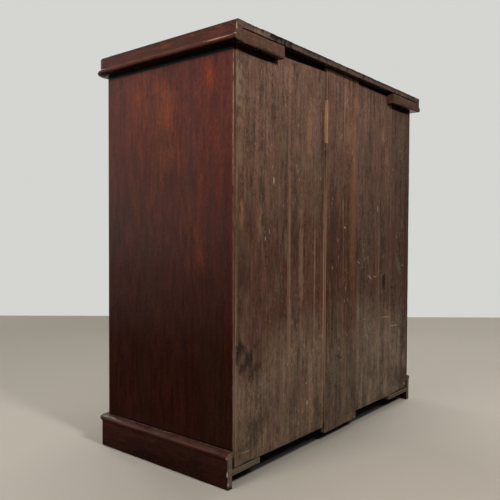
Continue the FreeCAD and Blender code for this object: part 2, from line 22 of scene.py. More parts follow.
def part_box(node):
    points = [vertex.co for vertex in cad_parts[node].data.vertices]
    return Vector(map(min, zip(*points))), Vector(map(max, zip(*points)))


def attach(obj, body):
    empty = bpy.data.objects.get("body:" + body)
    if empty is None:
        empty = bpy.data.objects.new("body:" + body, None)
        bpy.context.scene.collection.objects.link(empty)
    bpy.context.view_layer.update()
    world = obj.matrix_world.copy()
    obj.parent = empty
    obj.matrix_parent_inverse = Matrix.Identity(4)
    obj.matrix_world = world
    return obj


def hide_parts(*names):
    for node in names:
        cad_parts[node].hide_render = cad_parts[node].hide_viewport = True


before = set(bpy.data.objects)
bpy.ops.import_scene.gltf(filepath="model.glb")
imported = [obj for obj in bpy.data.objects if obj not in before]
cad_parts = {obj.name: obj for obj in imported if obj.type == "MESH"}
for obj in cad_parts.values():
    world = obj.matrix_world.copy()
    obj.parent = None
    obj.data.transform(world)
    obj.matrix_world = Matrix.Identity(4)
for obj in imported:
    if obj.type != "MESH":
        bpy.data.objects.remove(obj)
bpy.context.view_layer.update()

LOG = logging.getLogger("chest")
MILLIMETRES = 1000.0
MERGE = 2e-5
COPLANAR = math.radians(0.4)
SHARP = math.radians(35.0)
FLAT = 0.99995
BROAD = 6e-5
HAIR = 1e-6
DENTS = ((37.0, 0.6), (140.0, 0.4))
DENT_BIAS = 0.1
ARRIS_LAYER = "arris"
FRESH_LAYER = "fresh"
VECTORS = {"Vector", "Pith", "Place", "Reach", "Axis", "Direction"}
DRAWERS = ("top_left", "top_right", "upper", "middle", "lower")

Colour = tuple[float, float, float]
Paint = int | Colour
Triple = tuple[float, float, float]
Socket = bpy.types.NodeSocket
Group = bpy.types.NodeTree
Piece = bpy.types.Object
Shape = bmesh.types.BMesh
Face = bmesh.types.BMFace


def tint(paint: Paint) -> Colour:
    """The linear colour of a paint.

    Args:
        paint: a six-digit code, or a colour that is already linear.

    Returns:
        The linear red, green and blue.
    """
    if isinstance(paint, tuple):
        return paint
    shares = [(paint >> shift & 255) / 255.0 for shift in (16, 8, 0)]
    return tuple(s / 12.92 if s <= 0.04045 else ((s + 0.055) / 1.055) ** 2.4 for s in shares)


class Along(Enum):
    """The way that a board's grain runs, as turns that bring it onto Z."""

    X = (0.0, -math.pi / 2, 0.0)
    Y = (math.pi / 2, 0.0, 0.0)
    Z = (0.0, 0.0, 0.0)


BOARD_SIDES = {"front": Along.X, "left": Along.Y, "right": Along.Y}


class Facing(Enum):
    """The side that a face looks to, apart from the front."""

    LEFT = (-1.0, 0.0, 0.0)
    RIGHT = (1.0, 0.0, 0.0)
    BACK = (0.0, 1.0, 0.0)
    UP = (0.0, 0.0, 1.0)
    DOWN = (0.0, 0.0, -1.0)


class Figure(Enum):
    """How a mahogany board was cut: ribbon from a quartered board, cathedral from a plain one."""

    RIBBON = "ribbon"
    CATHEDRAL = "cathedral"


@dataclass(frozen=True)
class Wire:
    """A value, a place or a colour on its way through a node tree."""

    bench: "Bench"
    socket: Socket

    def __add__(self, other: "Feed") -> "Wire":
        """The sum of the two."""
        return self.bench.calc("ADD", self, other)

    def __sub__(self, other: "Feed") -> "Wire":
        """This less the other."""
        return self.bench.calc("SUBTRACT", self, other)

    def __rsub__(self, other: "Feed") -> "Wire":
        """The other less this."""
        return self.bench.calc("SUBTRACT", other, self)

    def __mul__(self, other: "Feed") -> "Wire":
        """The product of the two."""
        return self.bench.calc("MULTIPLY", self, other)

    def __truediv__(self, other: "Feed") -> "Wire":
        """This over the other."""
        return self.bench.calc("DIVIDE", self, other)

    def at_least(self, other: "Feed") -> "Wire":
        """The larger of the two."""
        return self.bench.calc("MAXIMUM", self, other)

    def clamped(self, gain: float = 1.0) -> "Wire":
        """The value times a gain, kept from 0 to 1."""
        return self.bench.calc("MULTIPLY", self, gain, clamp=True)

    def length(self) -> "Wire":
        """The length of a vector."""
        return self.bench.calc("LENGTH", self)

    def parts(self) -> "Wires":
        """The X, Y and Z of a vector, or the Red, Green and Blue of a colour."""
        kind, name = ("XYZ", "Vector") if self.socket.type == "VECTOR" else ("Color", "Color")
        return self.bench.make("Separate" + kind, {name: self})

    def span(self, low: "Feed", high: "Feed", to_low: float = 0.0, to_high: float = 1.0) -> "Wire":
        """The value's place between low and high, clamped, on the new scale."""
        ends = {"From Min": low, "From Max": high, "To Min": to_low, "To Max": to_high}
        return self.bench.make("MapRange", {"Value": self, **ends}, clamp=True)["Result"]

    def cloud(self, scale: "Feed", detail: float = 2.0, rough: float = 0.5,
              draw: float | Triple = 1.0, out: str = "Fac") -> "Wire":
        """Noise over this place.

        Args:
            scale: how fine the noise is.
            detail: how many finer layers it has.
            rough: how strong these are.
            draw: what the place is multiplied by first, or only its Z where it is one number.
            out: Fac for one value, or Color for three.

        Returns:
            The noise.
        """
        if draw != 1.0:
            place = self * (draw if isinstance(draw, tuple) else (1.0, 1.0, draw))
        else:
            place = self
        feeds = {"Vector": place, "Scale": scale, "Detail": detail, "Roughness": rough}
        return self.bench.make("TexNoise", feeds)[out]

    def ramp(self, *stops: tuple[float, Paint]) -> "Wire":
        """A colour from a value.

        Args:
            stops: the value and the paint of each stop.

        Returns:
            The colour.
        """
        node = self.bench.add("ValToRGB", {"Fac": self})
        band = node.color_ramp.elements
        while len(band) < len(stops):
            band.new(1.0)
        for element, (place, paint) in zip(band, stops):
            element.position = place
            element.color = (*tint(paint), 1.0)
        return Wire(self.bench, node.outputs["Color"])

    def painted(self, *layers: tuple["Feed", "Feed"]) -> "Wire":
        """The colour under some layers.

        Args:
            layers: each layer's paint and how much it covers, in order.

        Returns:
            The colour with the layers on it.
        """
        colour = self
        for paint, share in layers:
            colour = self.bench.mix(share, colour, paint)
        return colour

    def times(self, red: "Feed", green: "Feed", blue: "Feed") -> "Wire":
        """The colour with its red, green and blue each multiplied."""
        scale = self.bench.make("CombineColor", {"Red": red, "Green": green, "Blue": blue})["Color"]
        return self.bench.mix(1.0, self, scale, "MULTIPLY")

    def through(self, group: Group, **feeds: "Feed") -> "Wires":
        """The outputs of a node group that this place and the feeds go into."""
        return self.bench.use(group, Vector=self, **feeds)

    def mask(self, group: Group, **feeds: "Feed") -> "Wire":
        """The mask of a node group that this place and the feeds go into."""
        return self.through(group, **feeds)["Mask"]


Feed = float | tuple[float, ...] | Vector | Wire
Wires = dict[str, Wire]


@dataclass(frozen=True)
class Bench:
    """A node tree being laid out."""

    tree: Group

    @staticmethod
    def cleared(owner: bpy.types.Material | bpy.types.World) -> "Bench":
        """Clears the nodes of a new material or world.

        Args:
            owner: the material or world.

        Returns:
            Its bench.
        """
        owner.use_nodes = True
        owner.node_tree.nodes.clear()
        return Bench(owner.node_tree)

    def feed(self, value: Feed, socket: Socket) -> None:
        """Links a wire to a socket, or sets the socket's own value.

        Args:
            value: a wire, a number, a vector or a paint.
            socket: what it goes into.
        """
        if isinstance(value, Wire):
            self.tree.links.new(value.socket, socket)
        elif socket.type == "RGBA":
            socket.default_value = (*tint(value), 1.0)
        else:
            socket.default_value = value

    def add(self, kind: str, feeds: dict[str | int, Feed], **settings: object) -> bpy.types.Node:
        """Adds one shader node.

        Args:
            kind: the node's type, without its ShaderNode prefix.
            feeds: what goes into each input, by its name or number.
            settings: the node's own properties.

        Returns:
            The node.
        """
        node = self.tree.nodes.new("ShaderNode" + kind)
        for name, value in settings.items():
            setattr(node, name, value)
        for name, value in feeds.items():
            self.feed(value, node.inputs[name])
        return node

    def make(self, kind: str, feeds: dict[str | int, Feed] = {}, **settings: object) -> Wires:
        """Adds one shader node and gives its outputs by name."""
        outputs = self.add(kind, feeds, **settings).outputs
        return {socket.name: Wire(self, socket) for socket in outputs}

    def use(self, group: Group, **feeds: Feed) -> Wires:
        """Places a node group and gives its outputs by name."""
        return self.make("Group", feeds, node_tree=group)

    def calc(self, operation: str, *values: Feed, clamp: bool = False) -> Wire:
        """One step of arithmetic.

        Args:
            operation: the Math or Vector Math node's operation.
            values: what goes in. One vector makes it a Vector Math node.
            clamp: whether a Math node's result is kept from 0 to 1.

        Returns:
            The result.
        """
        feeds = dict(enumerate(values))
        sockets = [value.socket for value in values if isinstance(value, Wire)]
        flat = all(socket.type != "VECTOR" for socket in sockets)
        if flat and not any(isinstance(value, tuple) for value in values):
            return self.make("Math", feeds, operation=operation, use_clamp=clamp)["Value"]
        out = "Value" if operation in ("LENGTH", "DOT_PRODUCT") else "Vector"
        return self.make("VectorMath", feeds, operation=operation)[out]

    def scaled(self, vector: Feed, by: Feed) -> Wire:
        """A vector times a value."""
        return self.make("VectorMath", {"Vector": vector, "Scale": by}, operation="SCALE")["Vector"]

    def mix(self, share: Feed, low: Feed, high: Feed, way: str = "MIX") -> Wire:
        """Two colours mixed by share."""
        settings = {"data_type": "RGBA", "blend_type": way, "clamp_factor": True}
        return Wire(self, self.add("Mix", {0: share, 6: low, 7: high}, **settings).outputs[2])

    def shader_mix(self, share: Feed, low: Wire, high: Wire) -> Wire:
        """Two shaders mixed by share."""
        return self.make("MixShader", {0: share, 1: low, 2: high})["Shader"]

    def place(self) -> Wire:
        """The surface's place on its object, which is also its place on the chest."""
        return self.make("TexCoord")["Object"]

    def turned(self, place: Wire, grain: Along) -> Wire:
        """The place with the grain turned upright."""
        return self.make("Mapping", {"Vector": place, "Rotation": grain.value})["Vector"]

    def layer(self, name: str) -> Wire:
        """One of the layers that note a face's wear."""
        return self.make("Attribute", attribute_name=name)["Fac"]

    def facing(self, side: Facing) -> Wire:
        """Where the surface looks to a side."""
        return self.use(EFFECTS.facing, Direction=side.value)["Mask"]

    def fill(self, **values: Feed) -> Group:
        """Fills a node group's outputs.

        Args:
            values: what each output gives.

        Returns:
            The finished group.
        """
        end = self.tree.nodes.new("NodeGroupOutput")
        for label, value in values.items():
            self.feed(value, end.inputs[label])
        return self.tree


class Effects:
    """The node groups that more than one finish uses, each built once."""

    def group(self, name: str, takes: str, gives: str) -> tuple[Bench | Wire, ...]:
        """Starts a node group.

        Args:
            name: the group's name.
            takes: the names of its inputs, which are vectors if VECTORS has them.
            gives: the names of its outputs.

        Returns:
            The group's bench, followed by its inputs.
        """
        tree = bpy.data.node_groups.new(name, "ShaderNodeTree")
        for in_out, labels in (("INPUT", takes), ("OUTPUT", gives)):
            for label in labels.split():
                kind = "NodeSocketVector" if label in VECTORS else "NodeSocketFloat"
                tree.interface.new_socket(name=label, in_out=in_out, socket_type=kind)
        bench = Bench(tree)
        start = tree.nodes.new("NodeGroupInput")
        return bench, *(Wire(bench, start.outputs[label]) for label in takes.split())

    @cached_property
    def grain(self) -> Group:
        """Grain along Z: broad bands, streaks, fine fibres and open pores.

        Returns:
            The group, with each value from 0 to 1.
        """
        bench, place, seed, spacing, stretch, wander = self.group(
            "grain_along_z", "Vector Seed Spacing Stretch Wander", "Bands Streaks Fibres Pores")
        place = place + bench.scaled((3.7, 1.9, 7.3), seed)
        sway = place.cloud(4.0, 1.0, draw=0.45, out="Color") - (0.5, 0.5, 0.5)
        shrunk = {"X": 1.0, "Y": 1.0, "Z": bench.calc("DIVIDE", 1.0, stretch)}
        long = (place + bench.scaled(sway, wander)) * bench.make("CombineXYZ", shrunk)["Vector"]
        rate = bench.calc("DIVIDE", 1.0, spacing)
        layers = {"Bands": (0.3, 2.0, 0.5), "Streaks": (1.0, 3.0, 0.6), "Fibres": (8.0, 3.0, 0.7)}
        lines = {label: long.cloud(rate * share, detail, rough).span(0.3, 0.7)
                 for label, (share, detail, rough) in layers.items()}
        return bench.fill(**lines, Pores=long.cloud(rate * 16.0, 1.0, draw=2.5).span(0.6, 0.72))

    @cached_property
    def rings(self) -> Group:
        """The growth rings of a log whose pith runs along Z beside the board.

        Returns:
            The group, with the late wood and the place within the year.
        """
        bench, place, pith, lean, ring, uneven = self.group(
            "growth_rings", "Vector Pith Lean Ring Uneven", "Late Season")
        parts = (place - pith).parts()
        flat = {"X": parts["X"] + parts["Z"] * lean, "Y": parts["Y"], "Z": 0.0}
        radius = bench.make("CombineXYZ", flat)["Vector"].length()
        stray = (place.cloud(9.0, 3.0, draw=0.12) - 0.5) * uneven
        season = bench.calc("FRACT", (radius + stray) / ring)
        late = bench.calc("POWER", season, 3.0) * season.span(1.0, 0.93)
        return bench.fill(Late=late, Season=season)

    @cached_property
    def rubbed(self) -> Group:
        """Where the arrises are rubbed or knocked through to the wood.

        Returns:
            The group, with its mask.
        """
        bench, place, amount = self.group("rubbed_arris", "Vector Amount", "Mask")
        patches = place.cloud(38.0, 4.0, 0.65) - (0.95 - amount * 0.9)
        return bench.fill(Mask=bench.layer(ARRIS_LAYER) * patches.span(-0.08, 0.12))

    @cached_property
    def dust(self) -> Group:
        """Dust that has settled in patches on what looks up.

        Returns:
            The group, with its mask.
        """
        bench, place, amount = self.group("settled_dust", "Vector Amount", "Mask")
        up = bench.make("TexCoord")["Normal"].parts()["Z"]
        film, motes = place.cloud(14.0, 5.0, 0.6), place.cloud(420.0, 2.0)
        cover = film.span(0.35, 0.75) * 0.75 + motes.span(0.5, 0.7) * 0.25
        return bench.fill(Mask=up.span(0.35, 0.9) * cover * amount)

    @cached_property
    def stray(self) -> Group:
        """A ragged value that runs along upright grain, for the outlines of marks.

        Returns:
            The group, with a value about 0.
        """
        bench, place = self.group("ragged_outline", "Vector", "Stray")
        whole = place.cloud(150.0, 4.0, 0.7, 0.22) * 0.6 + place.cloud(45.0, 3.0, 0.6) * 0.4
        return bench.fill(Stray=(whole - 0.5) * 3.2)

    @cached_property
    def mark(self) -> Group:
        """One mark: a scratch, stain or worn patch with a ragged outline.

        Returns:
            The group, with its mask.
        """
        bench, place, stray, middle, reach, axis, turn, ragged, soft = self.group(
            "mark_on_face", "Vector Stray Place Reach Axis Turn Ragged Soft", "Mask")
        feeds = {"Vector": place - middle, "Axis": axis, "Angle": turn}
        turned = bench.make("VectorRotate", feeds, rotation_type="AXIS_ANGLE")["Vector"]
        away = (turned / reach).length() + stray * ragged
        return bench.fill(Mask=((1.0 - away) / soft).clamped())

    @cached_property
    def flecks(self) -> Group:
        """Small flecks in loose clusters, longer than they are wide.

        Returns:
            The group, with its mask.
        """
        bench, place, scale, share, size = self.group(
            "flecks_in_clusters", "Vector Scale Share Size", "Mask")
        feeds = {"Vector": place * (1.0, 1.0, 0.3), "Scale": scale, "Randomness": 1.0}
        cells = bench.make("TexVoronoi", feeds)
        crowd = place.cloud(13.0, 3.0, 0.6, 0.5).span(0.35, 0.7, -0.35, 0.12)
        keen = (cells["Color"].parts()["Red"] + crowd - (1.0 - share)) / share
        return bench.fill(Mask=(keen.clamped() * size - cells["Distance"]).clamped(14.0))

    @cached_property
    def knot(self) -> Group:
        """A knot in an upright board: grain that sways round it, its heart and its rim.

        Returns:
            The group, with the swayed place and two masks.
        """
        bench, place, middle, radius = self.group(
            "knot_in_board", "Vector Place Radius", "Vector Heart Rim")
        parts = (place - middle).parts()
        flat = bench.make("CombineXYZ", {"X": parts["X"], "Y": 0.0, "Z": parts["Z"] * 0.45})
        far = flat["Vector"].length() / radius
        pull = far.span(5.0, 0.4, 0.0, -0.8)
        shift = {"X": parts["X"] * (pull * pull * -1.0), "Y": 0.0, "Z": 0.0}
        edge = far + (place.cloud(90.0, 3.0) - 0.5) * 0.9
        return bench.fill(Vector=place + bench.make("CombineXYZ", shift)["Vector"],
                          Heart=edge.span(1.0, 0.75), Rim=edge.span(2.4, 1.1) * edge.span(0.8, 1.1))

    @cached_property
    def facing(self) -> Group:
        """How squarely a face looks along a direction, as a mask.

        Returns:
            The group, with its mask.
        """
        bench, direction = self.group("looks_along", "Direction", "Mask")
        square = bench.calc("DOT_PRODUCT", bench.make("TexCoord")["Normal"], direction)
        return bench.fill(Mask=square.span(0.7, 0.9))


EFFECTS = Effects()


@dataclass(frozen=True)
class Mark:
    """One scratch, stain or worn patch: its middle, half sizes, paint, strength and outline."""

    place: Triple
    reach: Triple
    paint: Paint
    strength: float = 0.7
    ragged: float = 0.6
    soft: float = 0.7
    turn: float = 0.0

    def mask(self, place: Wire, stray: Wire) -> Wire:
        """Where the mark is on a surface.

        Args:
            place: the surface's place.
            stray: the ragged value of its outline.

        Returns:
            The mask. A turned mark is turned about its thickest size.
        """
        across = self.reach.index(max(self.reach))
        feeds = {"Turn": self.turn, "Ragged": self.ragged, "Soft": self.soft,
                 "Axis": tuple(1.0 if i == across else 0.0 for i in range(3))}
        for label, sizes in (("Place", self.place), ("Reach", self.reach)):
            feeds[label] = tuple(size / MILLIMETRES for size in sizes)
        return place.mask(EFFECTS.mark, Stray=stray, **feeds)


def on_back(x: float, z: float, half_x: float, half_z: float, paint: Paint, strength: float = 0.7,
            ragged: float = 0.6, turn: float = 0.0, soft: float = 0.7) -> Mark:
    """A mark on the back, in the plane of its boards."""
    return Mark((x, 240, z), (half_x, 2000, half_z), paint, strength, ragged, soft, turn)


def on_side(y: float, z: float, half_y: float, half_z: float, paint: Paint, strength: float = 0.6,
            ragged: float = 0.9, soft: float = 1.2) -> Mark:
    """A mark on the right side, in its own plane."""
    return Mark((478, y, z), (2000, half_y, half_z), paint, strength, ragged, soft)


def marked(place: Wire, colour: Wire, marks: tuple[Mark, ...]) -> Wire:
    """Lays some marks over a colour.

    Args:
        place: the surface's place.
        colour: the colour below.
        marks: what is laid over it, in order.

    Returns:
        The colour with the marks.
    """
    if not marks:
        return colour
    stray = place.through(EFFECTS.stray)["Stray"]
    layers = ((mark.paint, mark.mask(place, stray) * mark.strength) for mark in marks)
    return colour.painted(*layers)


@dataclass(frozen=True)
class Coat:
    """What a finish gives a surface: colour, roughness, a relief of some depth, and metal."""

    colour: Wire
    rough: Feed
    relief: Wire
    depth: float
    metal: float = 0.0


@dataclass(frozen=True)
class Finish(ABC):
    """What every finish has: a name, a sheen and a coat."""

    name: str
    sheen: float = 0.3

    @abstractmethod
    def coat(self, bench: Bench) -> Coat:
        """Works out the finish's coat."""

    @cache
    def made(self) -> bpy.types.Material:
        """Makes the material, once for equal finishes.

        Returns:
            The material, with the coat on its Principled surface.
        """
        material = bpy.data.materials.new(self.name)
        bench = Bench.cleared(material)
        coat = self.coat(bench)
        bump = bench.make("Bump", {"Height": coat.relief, "Distance": coat.depth, "Strength": 1.0})
        surface = bench.make("BsdfPrincipled", {
            "Base Color": coat.colour, "Roughness": coat.rough, "Metallic": coat.metal,
            "Specular IOR Level": self.sheen, "Normal": bump["Normal"],
        })
        bench.make("OutputMaterial", {"Surface": surface["BSDF"]})
        return material


@dataclass(frozen=True)
class Polish(Finish):
    """Old polish on mahogany, with bare wood where no polish was ever laid."""

    sheen: float = 0.12
    grain: Along = Along.Z
    figure: Figure = Figure.RIBBON
    deep: Paint = 0x4E2016
    body: Paint = 0x5F2D20
    bright: Paint = 0x723826
    ember: Paint = 0x864024
    bare: Paint = 0x644C3E
    # Near-black paint for painted shade on undersides and in shadow bands.
    painted_shade: Paint = 0x0C0705
    bare_faces: tuple[Facing, ...] = ()
    painted_shade_faces: tuple[Facing, ...] = ()
    spacing: float = 0.009
    stretch: float = 15.0
    wander: float = 0.03
    seed: float = 1.0
    foot_shade: float = 0.27
    depth: float = 1.0
    foot: float = 0.32
    head: float = 1.0
    rub: float = 0.4
    dusting: float = 0.3
    chips: float = 0.0
    torn_at: float = 0.335
    pith: Triple = (0.0, 0.06, 0.0)
    # Heights between which the colour turns to painted shade, near black, as shadow under an
    # overhang.
    painted_shade_band: tuple[float, float] | None = None
    marks: tuple[Mark, ...] = ()
    scars: tuple[Mark, ...] = ()

    def polished(self, place: Wire, turned: Wire, grain: Wires) -> Wire:
        """The polished wood's colour.

        Args:
            place: the surface's place.
            turned: the place with the grain turned upright.
            grain: the grain's values.

        Returns:
            The colour, with shade painted in towards the foot.
        """
        if self.figure is Figure.CATHEDRAL:
            rings = turned.through(EFFECTS.rings, Pith=self.pith, Lean=0.1, Ring=0.011, Uneven=0.05)
            tone = (rings["Season"] * -0.6 + grain["Bands"] * 0.35 + grain["Streaks"] * 0.3
                    + grain["Fibres"] * 0.22 + 0.37)
        else:
            tone = grain["Bands"] * 0.3 + grain["Streaks"] * 0.4 + grain["Fibres"] * 0.3
        flame = turned.cloud(85.0, 3.0, 0.6, 0.2)
        ember = turned.cloud(9.0, 4.0, 0.65, 0.4).span(0.46, 0.66) * flame.span(0.42, 0.66)
        dull = turned.cloud(16.0, 3.0, 0.6, 0.2).span(0.56, 0.76, 0.0, 0.45)
        hue = turned.cloud(9.0, 4.0, 0.6, 0.25, "Color").parts()
        colour = tone.ramp((0.15, self.deep), (0.5, self.body), (0.85, self.bright)).painted(
            (self.ember, ember * 0.55), (0x3E261E, dull),
            (0x582A2A, hue["Red"].span(0.5, 0.66, 0.0, 0.5)),
            (0x5C3A26, hue["Green"].span(0.5, 0.66, 0.0, 0.5)))
        colour = marked(place, colour, self.marks).painted((0x1E0B08, grain["Pores"] * 0.4))
        # Painted shade: the colour darkens from the head down to the foot.
        drift = place.cloud(1.6, 2.0, 0.5, (3.0, 3.0, 0.8))
        level = place.parts()["Z"] + (drift - 0.5) * 0.12
        shade = level.span(self.foot, self.head, self.foot_shade * self.depth, self.depth)
        shade = shade * turned.cloud(180.0, 5.0, 0.8, 0.5).span(0.2, 0.8, 0.4, 1.6)
        shade = shade * flame.span(0.34, 0.66, 0.82, 1.18)
        power = shade.bench.calc
        return colour.times(shade, power("POWER", shade, 1.06), power("POWER", shade, 1.1))

    def unpolished(self, place: Wire, grain: Wires) -> Wire:
        """The bare wood's colour: old, mottled, scuffed and chipped.

        Args:
            place: the surface's place.
            grain: the grain's values.

        Returns:
            The colour.
        """
        figure = grain["Streaks"] * 0.5 + grain["Fibres"] * 0.5
        whole = figure * 0.5 + place.cloud(42.0, 6.0, 0.7).span(0.3, 0.7) * 0.5
        gains = ((0.2, 0.42), (0.5, 1.0), (0.85, 1.5))
        stops = ((at, tuple(part * gain for part in tint(self.bare))) for at, gain in gains)
        wood = whole.ramp(*stops)
        flecks = place.mask(EFFECTS.flecks, Scale=120.0, Share=0.3, Size=0.32)
        wood = wood.painted((0xA48C78, flecks * 0.6))
        if self.chips > 0.0:
            saw = place.cloud(1.0, 3.0, 0.6, (150.0, 60.0, 22.0))
            away = place.bench.calc("ABSOLUTE", place.parts()["X"] - self.torn_at)
            torn = away.span(0.065, 0.035, 0.62, 0.49)
            wood = wood.painted((0x160F0B, saw.span(torn - 0.07, torn) * self.chips))
        return wood

    def coat(self, bench: Bench) -> Coat:
        """Lays grain, pores, painted shade, wear, scars, dust and the bare faces.

        Args:
            bench: the material's bench.

        Returns:
            The coat.
        """
        place = bench.place()
        turned = bench.turned(place, self.grain)
        grain = turned.through(EFFECTS.grain, Seed=self.seed, Spacing=self.spacing,
                               Stretch=self.stretch, Wander=self.wander)
        rub = place.mask(EFFECTS.rubbed, Amount=self.rub)
        dust = place.mask(EFFECTS.dust, Amount=self.dusting)
        raw = bench.layer(FRESH_LAYER)
        for side in self.bare_faces:
            raw = raw.at_least(bench.facing(side))
        # Faces that look the listed ways get painted shade, near black.
        colour = self.polished(place, turned, grain).painted(
            (0x966C54, rub * 0.8), (self.unpolished(place, grain), raw),
            *((self.painted_shade, bench.facing(side) * 0.94) for side in self.painted_shade_faces))
        # Painted shade: past the band's heights the colour goes near black, as shadow under an
        # overhang.
        if self.painted_shade_band:
            level = place.parts()["Z"] + (place.cloud(60.0, 3.0) - 0.5) * 0.004
            colour = colour.painted((self.painted_shade, level.span(*self.painted_shade_band) * 0.96))
        colour = marked(place, colour, self.scars).painted((0x7E7062, dust))
        smear = place.cloud(8.0, 4.0, 0.6, 0.5).span(0.3, 0.7)
        rough = (smear * 0.1 + grain["Fibres"] * 0.06 + grain["Pores"] * 0.12 + rub * 0.25
                 + dust * 0.3 + 0.12)
        fine = place.cloud(260.0, 3.0, 0.7) * raw
        relief = grain["Pores"] * -0.6 + grain["Fibres"] * 0.3 + fine * 1.2
        return Coat(colour, rough.at_least(raw * 0.85), relief, depth=0.0003)


@dataclass(frozen=True)
class BackPine(Finish):
    """Bare softwood of the back, darkened, dusty and bloomed near the floor."""

    seed: float = 1.0
    bright: float = 1.0
    warmth: float = 0.0
    head: Paint = 0x6C5144
    heart: Paint = 0x4C3024
    bloom: Paint = 0x6C5848
    marks: tuple[Mark, ...] = ()
    knots: tuple[Triple, ...] = ()
    rub: float = 0.62

    def timber(self, place: Wire, grain: Wires, late: Wire) -> Wire:
        """The boards' own colour: the tone of each height, figure, blotches and fine speckle.

        Args:
            place: the surface's place.
            grain: the grain's values.
            late: the growth rings' late wood.

        Returns:
            The colour.
        """
        height = place.parts()["Z"]
        level = height + (place.cloud(2.2, 5.0, 0.6, (2.6, 1.0, 1.5)) - 0.5) * 0.3
        tone = level.ramp((0.0, self.bloom), (0.25, self.bloom), (0.39, self.heart),
                          (0.56, self.heart), (1.0, self.head))
        figure = grain["Bands"] * 0.24 + grain["Streaks"] * 0.3 + grain["Fibres"] * 0.14
        blotches = ((0.66, 24.0, 6.0, 0.68), (0.85, 110.0, 4.0, 0.75), (1.15, 320.0, 3.0, 0.8))
        for weight, scale, detail, rough in blotches:
            figure = figure + place.cloud(scale, detail, rough, 0.5) * weight
        figure = figure + late * -0.08 - 1.262
        gain = (figure * (2.0 * self.bright) + 0.2 * self.bright).at_least(0.4)
        hue = place.cloud(11.0, 4.0, 0.65, 0.4, "Color").parts()
        film = place.cloud(120.0, 6.0, 0.7, 0.14).span(0.5, 0.7)
        damp = place.cloud(9.0, 5.0, 0.65, 0.8).span(0.48, 0.6)
        return tone.times(gain * (1.0 + self.warmth), gain, gain * (1.0 - self.warmth)).painted(
            (0x504636, hue["Red"].span(0.5, 0.62, 0.0, 0.3)),
            (0x5A3C33, hue["Green"].span(0.5, 0.62, 0.0, 0.5)),
            (0x7E6C5A, film * height.span(0.45, 0.25, 0.34, 0.5)),
            (0x362D24, damp * height.span(0.24, 0.1, 0.0, 0.6)))

    def coat(self, bench: Bench) -> Coat:
        """Lays timber, marks, knots, flecks, pale arrises, fresh breaks and painted shade on ends.

        Args:
            bench: the material's bench.

        Returns:
            The coat.
        """
        place = where = bench.place()
        knots: list[tuple[Paint, Wire]] = []
        for x, z, radius in self.knots:
            knot = where.through(EFFECTS.knot, Place=(x, 0.0, z), Radius=radius)
            where = knot["Vector"]
            knots += [(0x685444, knot["Rim"] * 0.35), (0x281A13, knot["Heart"] * 0.9)]
        grain = where.through(EFFECTS.grain, Seed=self.seed, Spacing=0.011, Stretch=18.0,
                              Wander=0.012)
        late = where.through(EFFECTS.rings, Pith=(0.3 * math.sin(self.seed * 5.0), 0.02, 0.0),
                             Lean=0.012, Ring=0.0065, Uneven=0.05)["Late"]
        spots = ((place, 170.0, 0.42, 0.36), (place + (3.0, 0.0, 1.0), 84.0, 0.16, 0.17),
                 (place + (7.0, 0.0, 5.0), 100.0, 0.3, 0.28))
        ticks, dots, pits = (spot.mask(EFFECTS.flecks, Scale=scale, Share=share, Size=size)
                             for spot, scale, share, size in spots)
        split = bench.mix(grain["Fibres"], 0x8C6246, 0xC0926C)
        colour = marked(place, self.timber(place, grain, late), self.marks).painted(
            *knots,
            (0xA0846A, ticks * 0.6), (0xB6A08C, dots * 0.7), (0x221711, pits * 0.4),
            (0x846854, place.mask(EFFECTS.rubbed, Amount=self.rub) * 0.7),
            (split, bench.layer(FRESH_LAYER)),
            # Painted shade: heads under the top and feet near the floor are painted dark.
            (0x140E0B, bench.facing(Facing.UP) * 0.85),
            (0x281E18, bench.facing(Facing.DOWN) * 0.6))
        relief = (late * 0.3 + grain["Fibres"] * 0.4 + grain["Pores"] * -0.4
                  + dots * 0.3 + pits * -0.5)
        return Coat(colour, 0.85, relief, depth=0.0005)


@dataclass(frozen=True)
class InsidePine(Finish):
    """Plain softwood or drawer wood of the inside, planed, bare and mellowed."""

    grain: Along = Along.X
    pale: Paint = 0xB0865C
    dark: Paint = 0x805838
    seed: float = 1.0
    dusting: float = 0.4
    ring: float = 0.005
    worn: Paint = 0x6E523A

    def coat(self, bench: Bench) -> Coat:
        """Lays rings and fibres, stains, handling marks and dust.

        Args:
            bench: the material's bench.

        Returns:
            The coat.
        """
        place = bench.place()
        turned = bench.turned(place, self.grain)
        grain = turned.through(EFFECTS.grain, Seed=self.seed, Spacing=0.012, Stretch=24.0,
                               Wander=0.012)
        late = turned.through(EFFECTS.rings, Pith=(0.11, 0.14, 0.0), Lean=0.03, Ring=self.ring,
                              Uneven=0.04)["Late"]
        tone = (grain["Bands"] * 0.3 + grain["Streaks"] * 0.3 + grain["Fibres"] * 0.25
                + late * -0.55 + 0.2)
        colour = bench.mix(tone.span(0.1, 0.85), self.dark, self.pale).painted(
            (0x60442E, place.cloud(6.0, 5.0, 0.6).span(0.5, 0.75, 0.0, 0.4)),
            (self.worn, place.mask(EFFECTS.rubbed, Amount=0.5) * 0.6),
            (0x968A7A, place.mask(EFFECTS.dust, Amount=self.dusting)))
        relief = late * 0.5 + grain["Fibres"] * 0.4 + grain["Pores"] * -0.5
        rough = grain["Fibres"].span(0.0, 1.0, 0.62, 0.8)
        return Coat(colour, rough, relief, depth=0.0003)


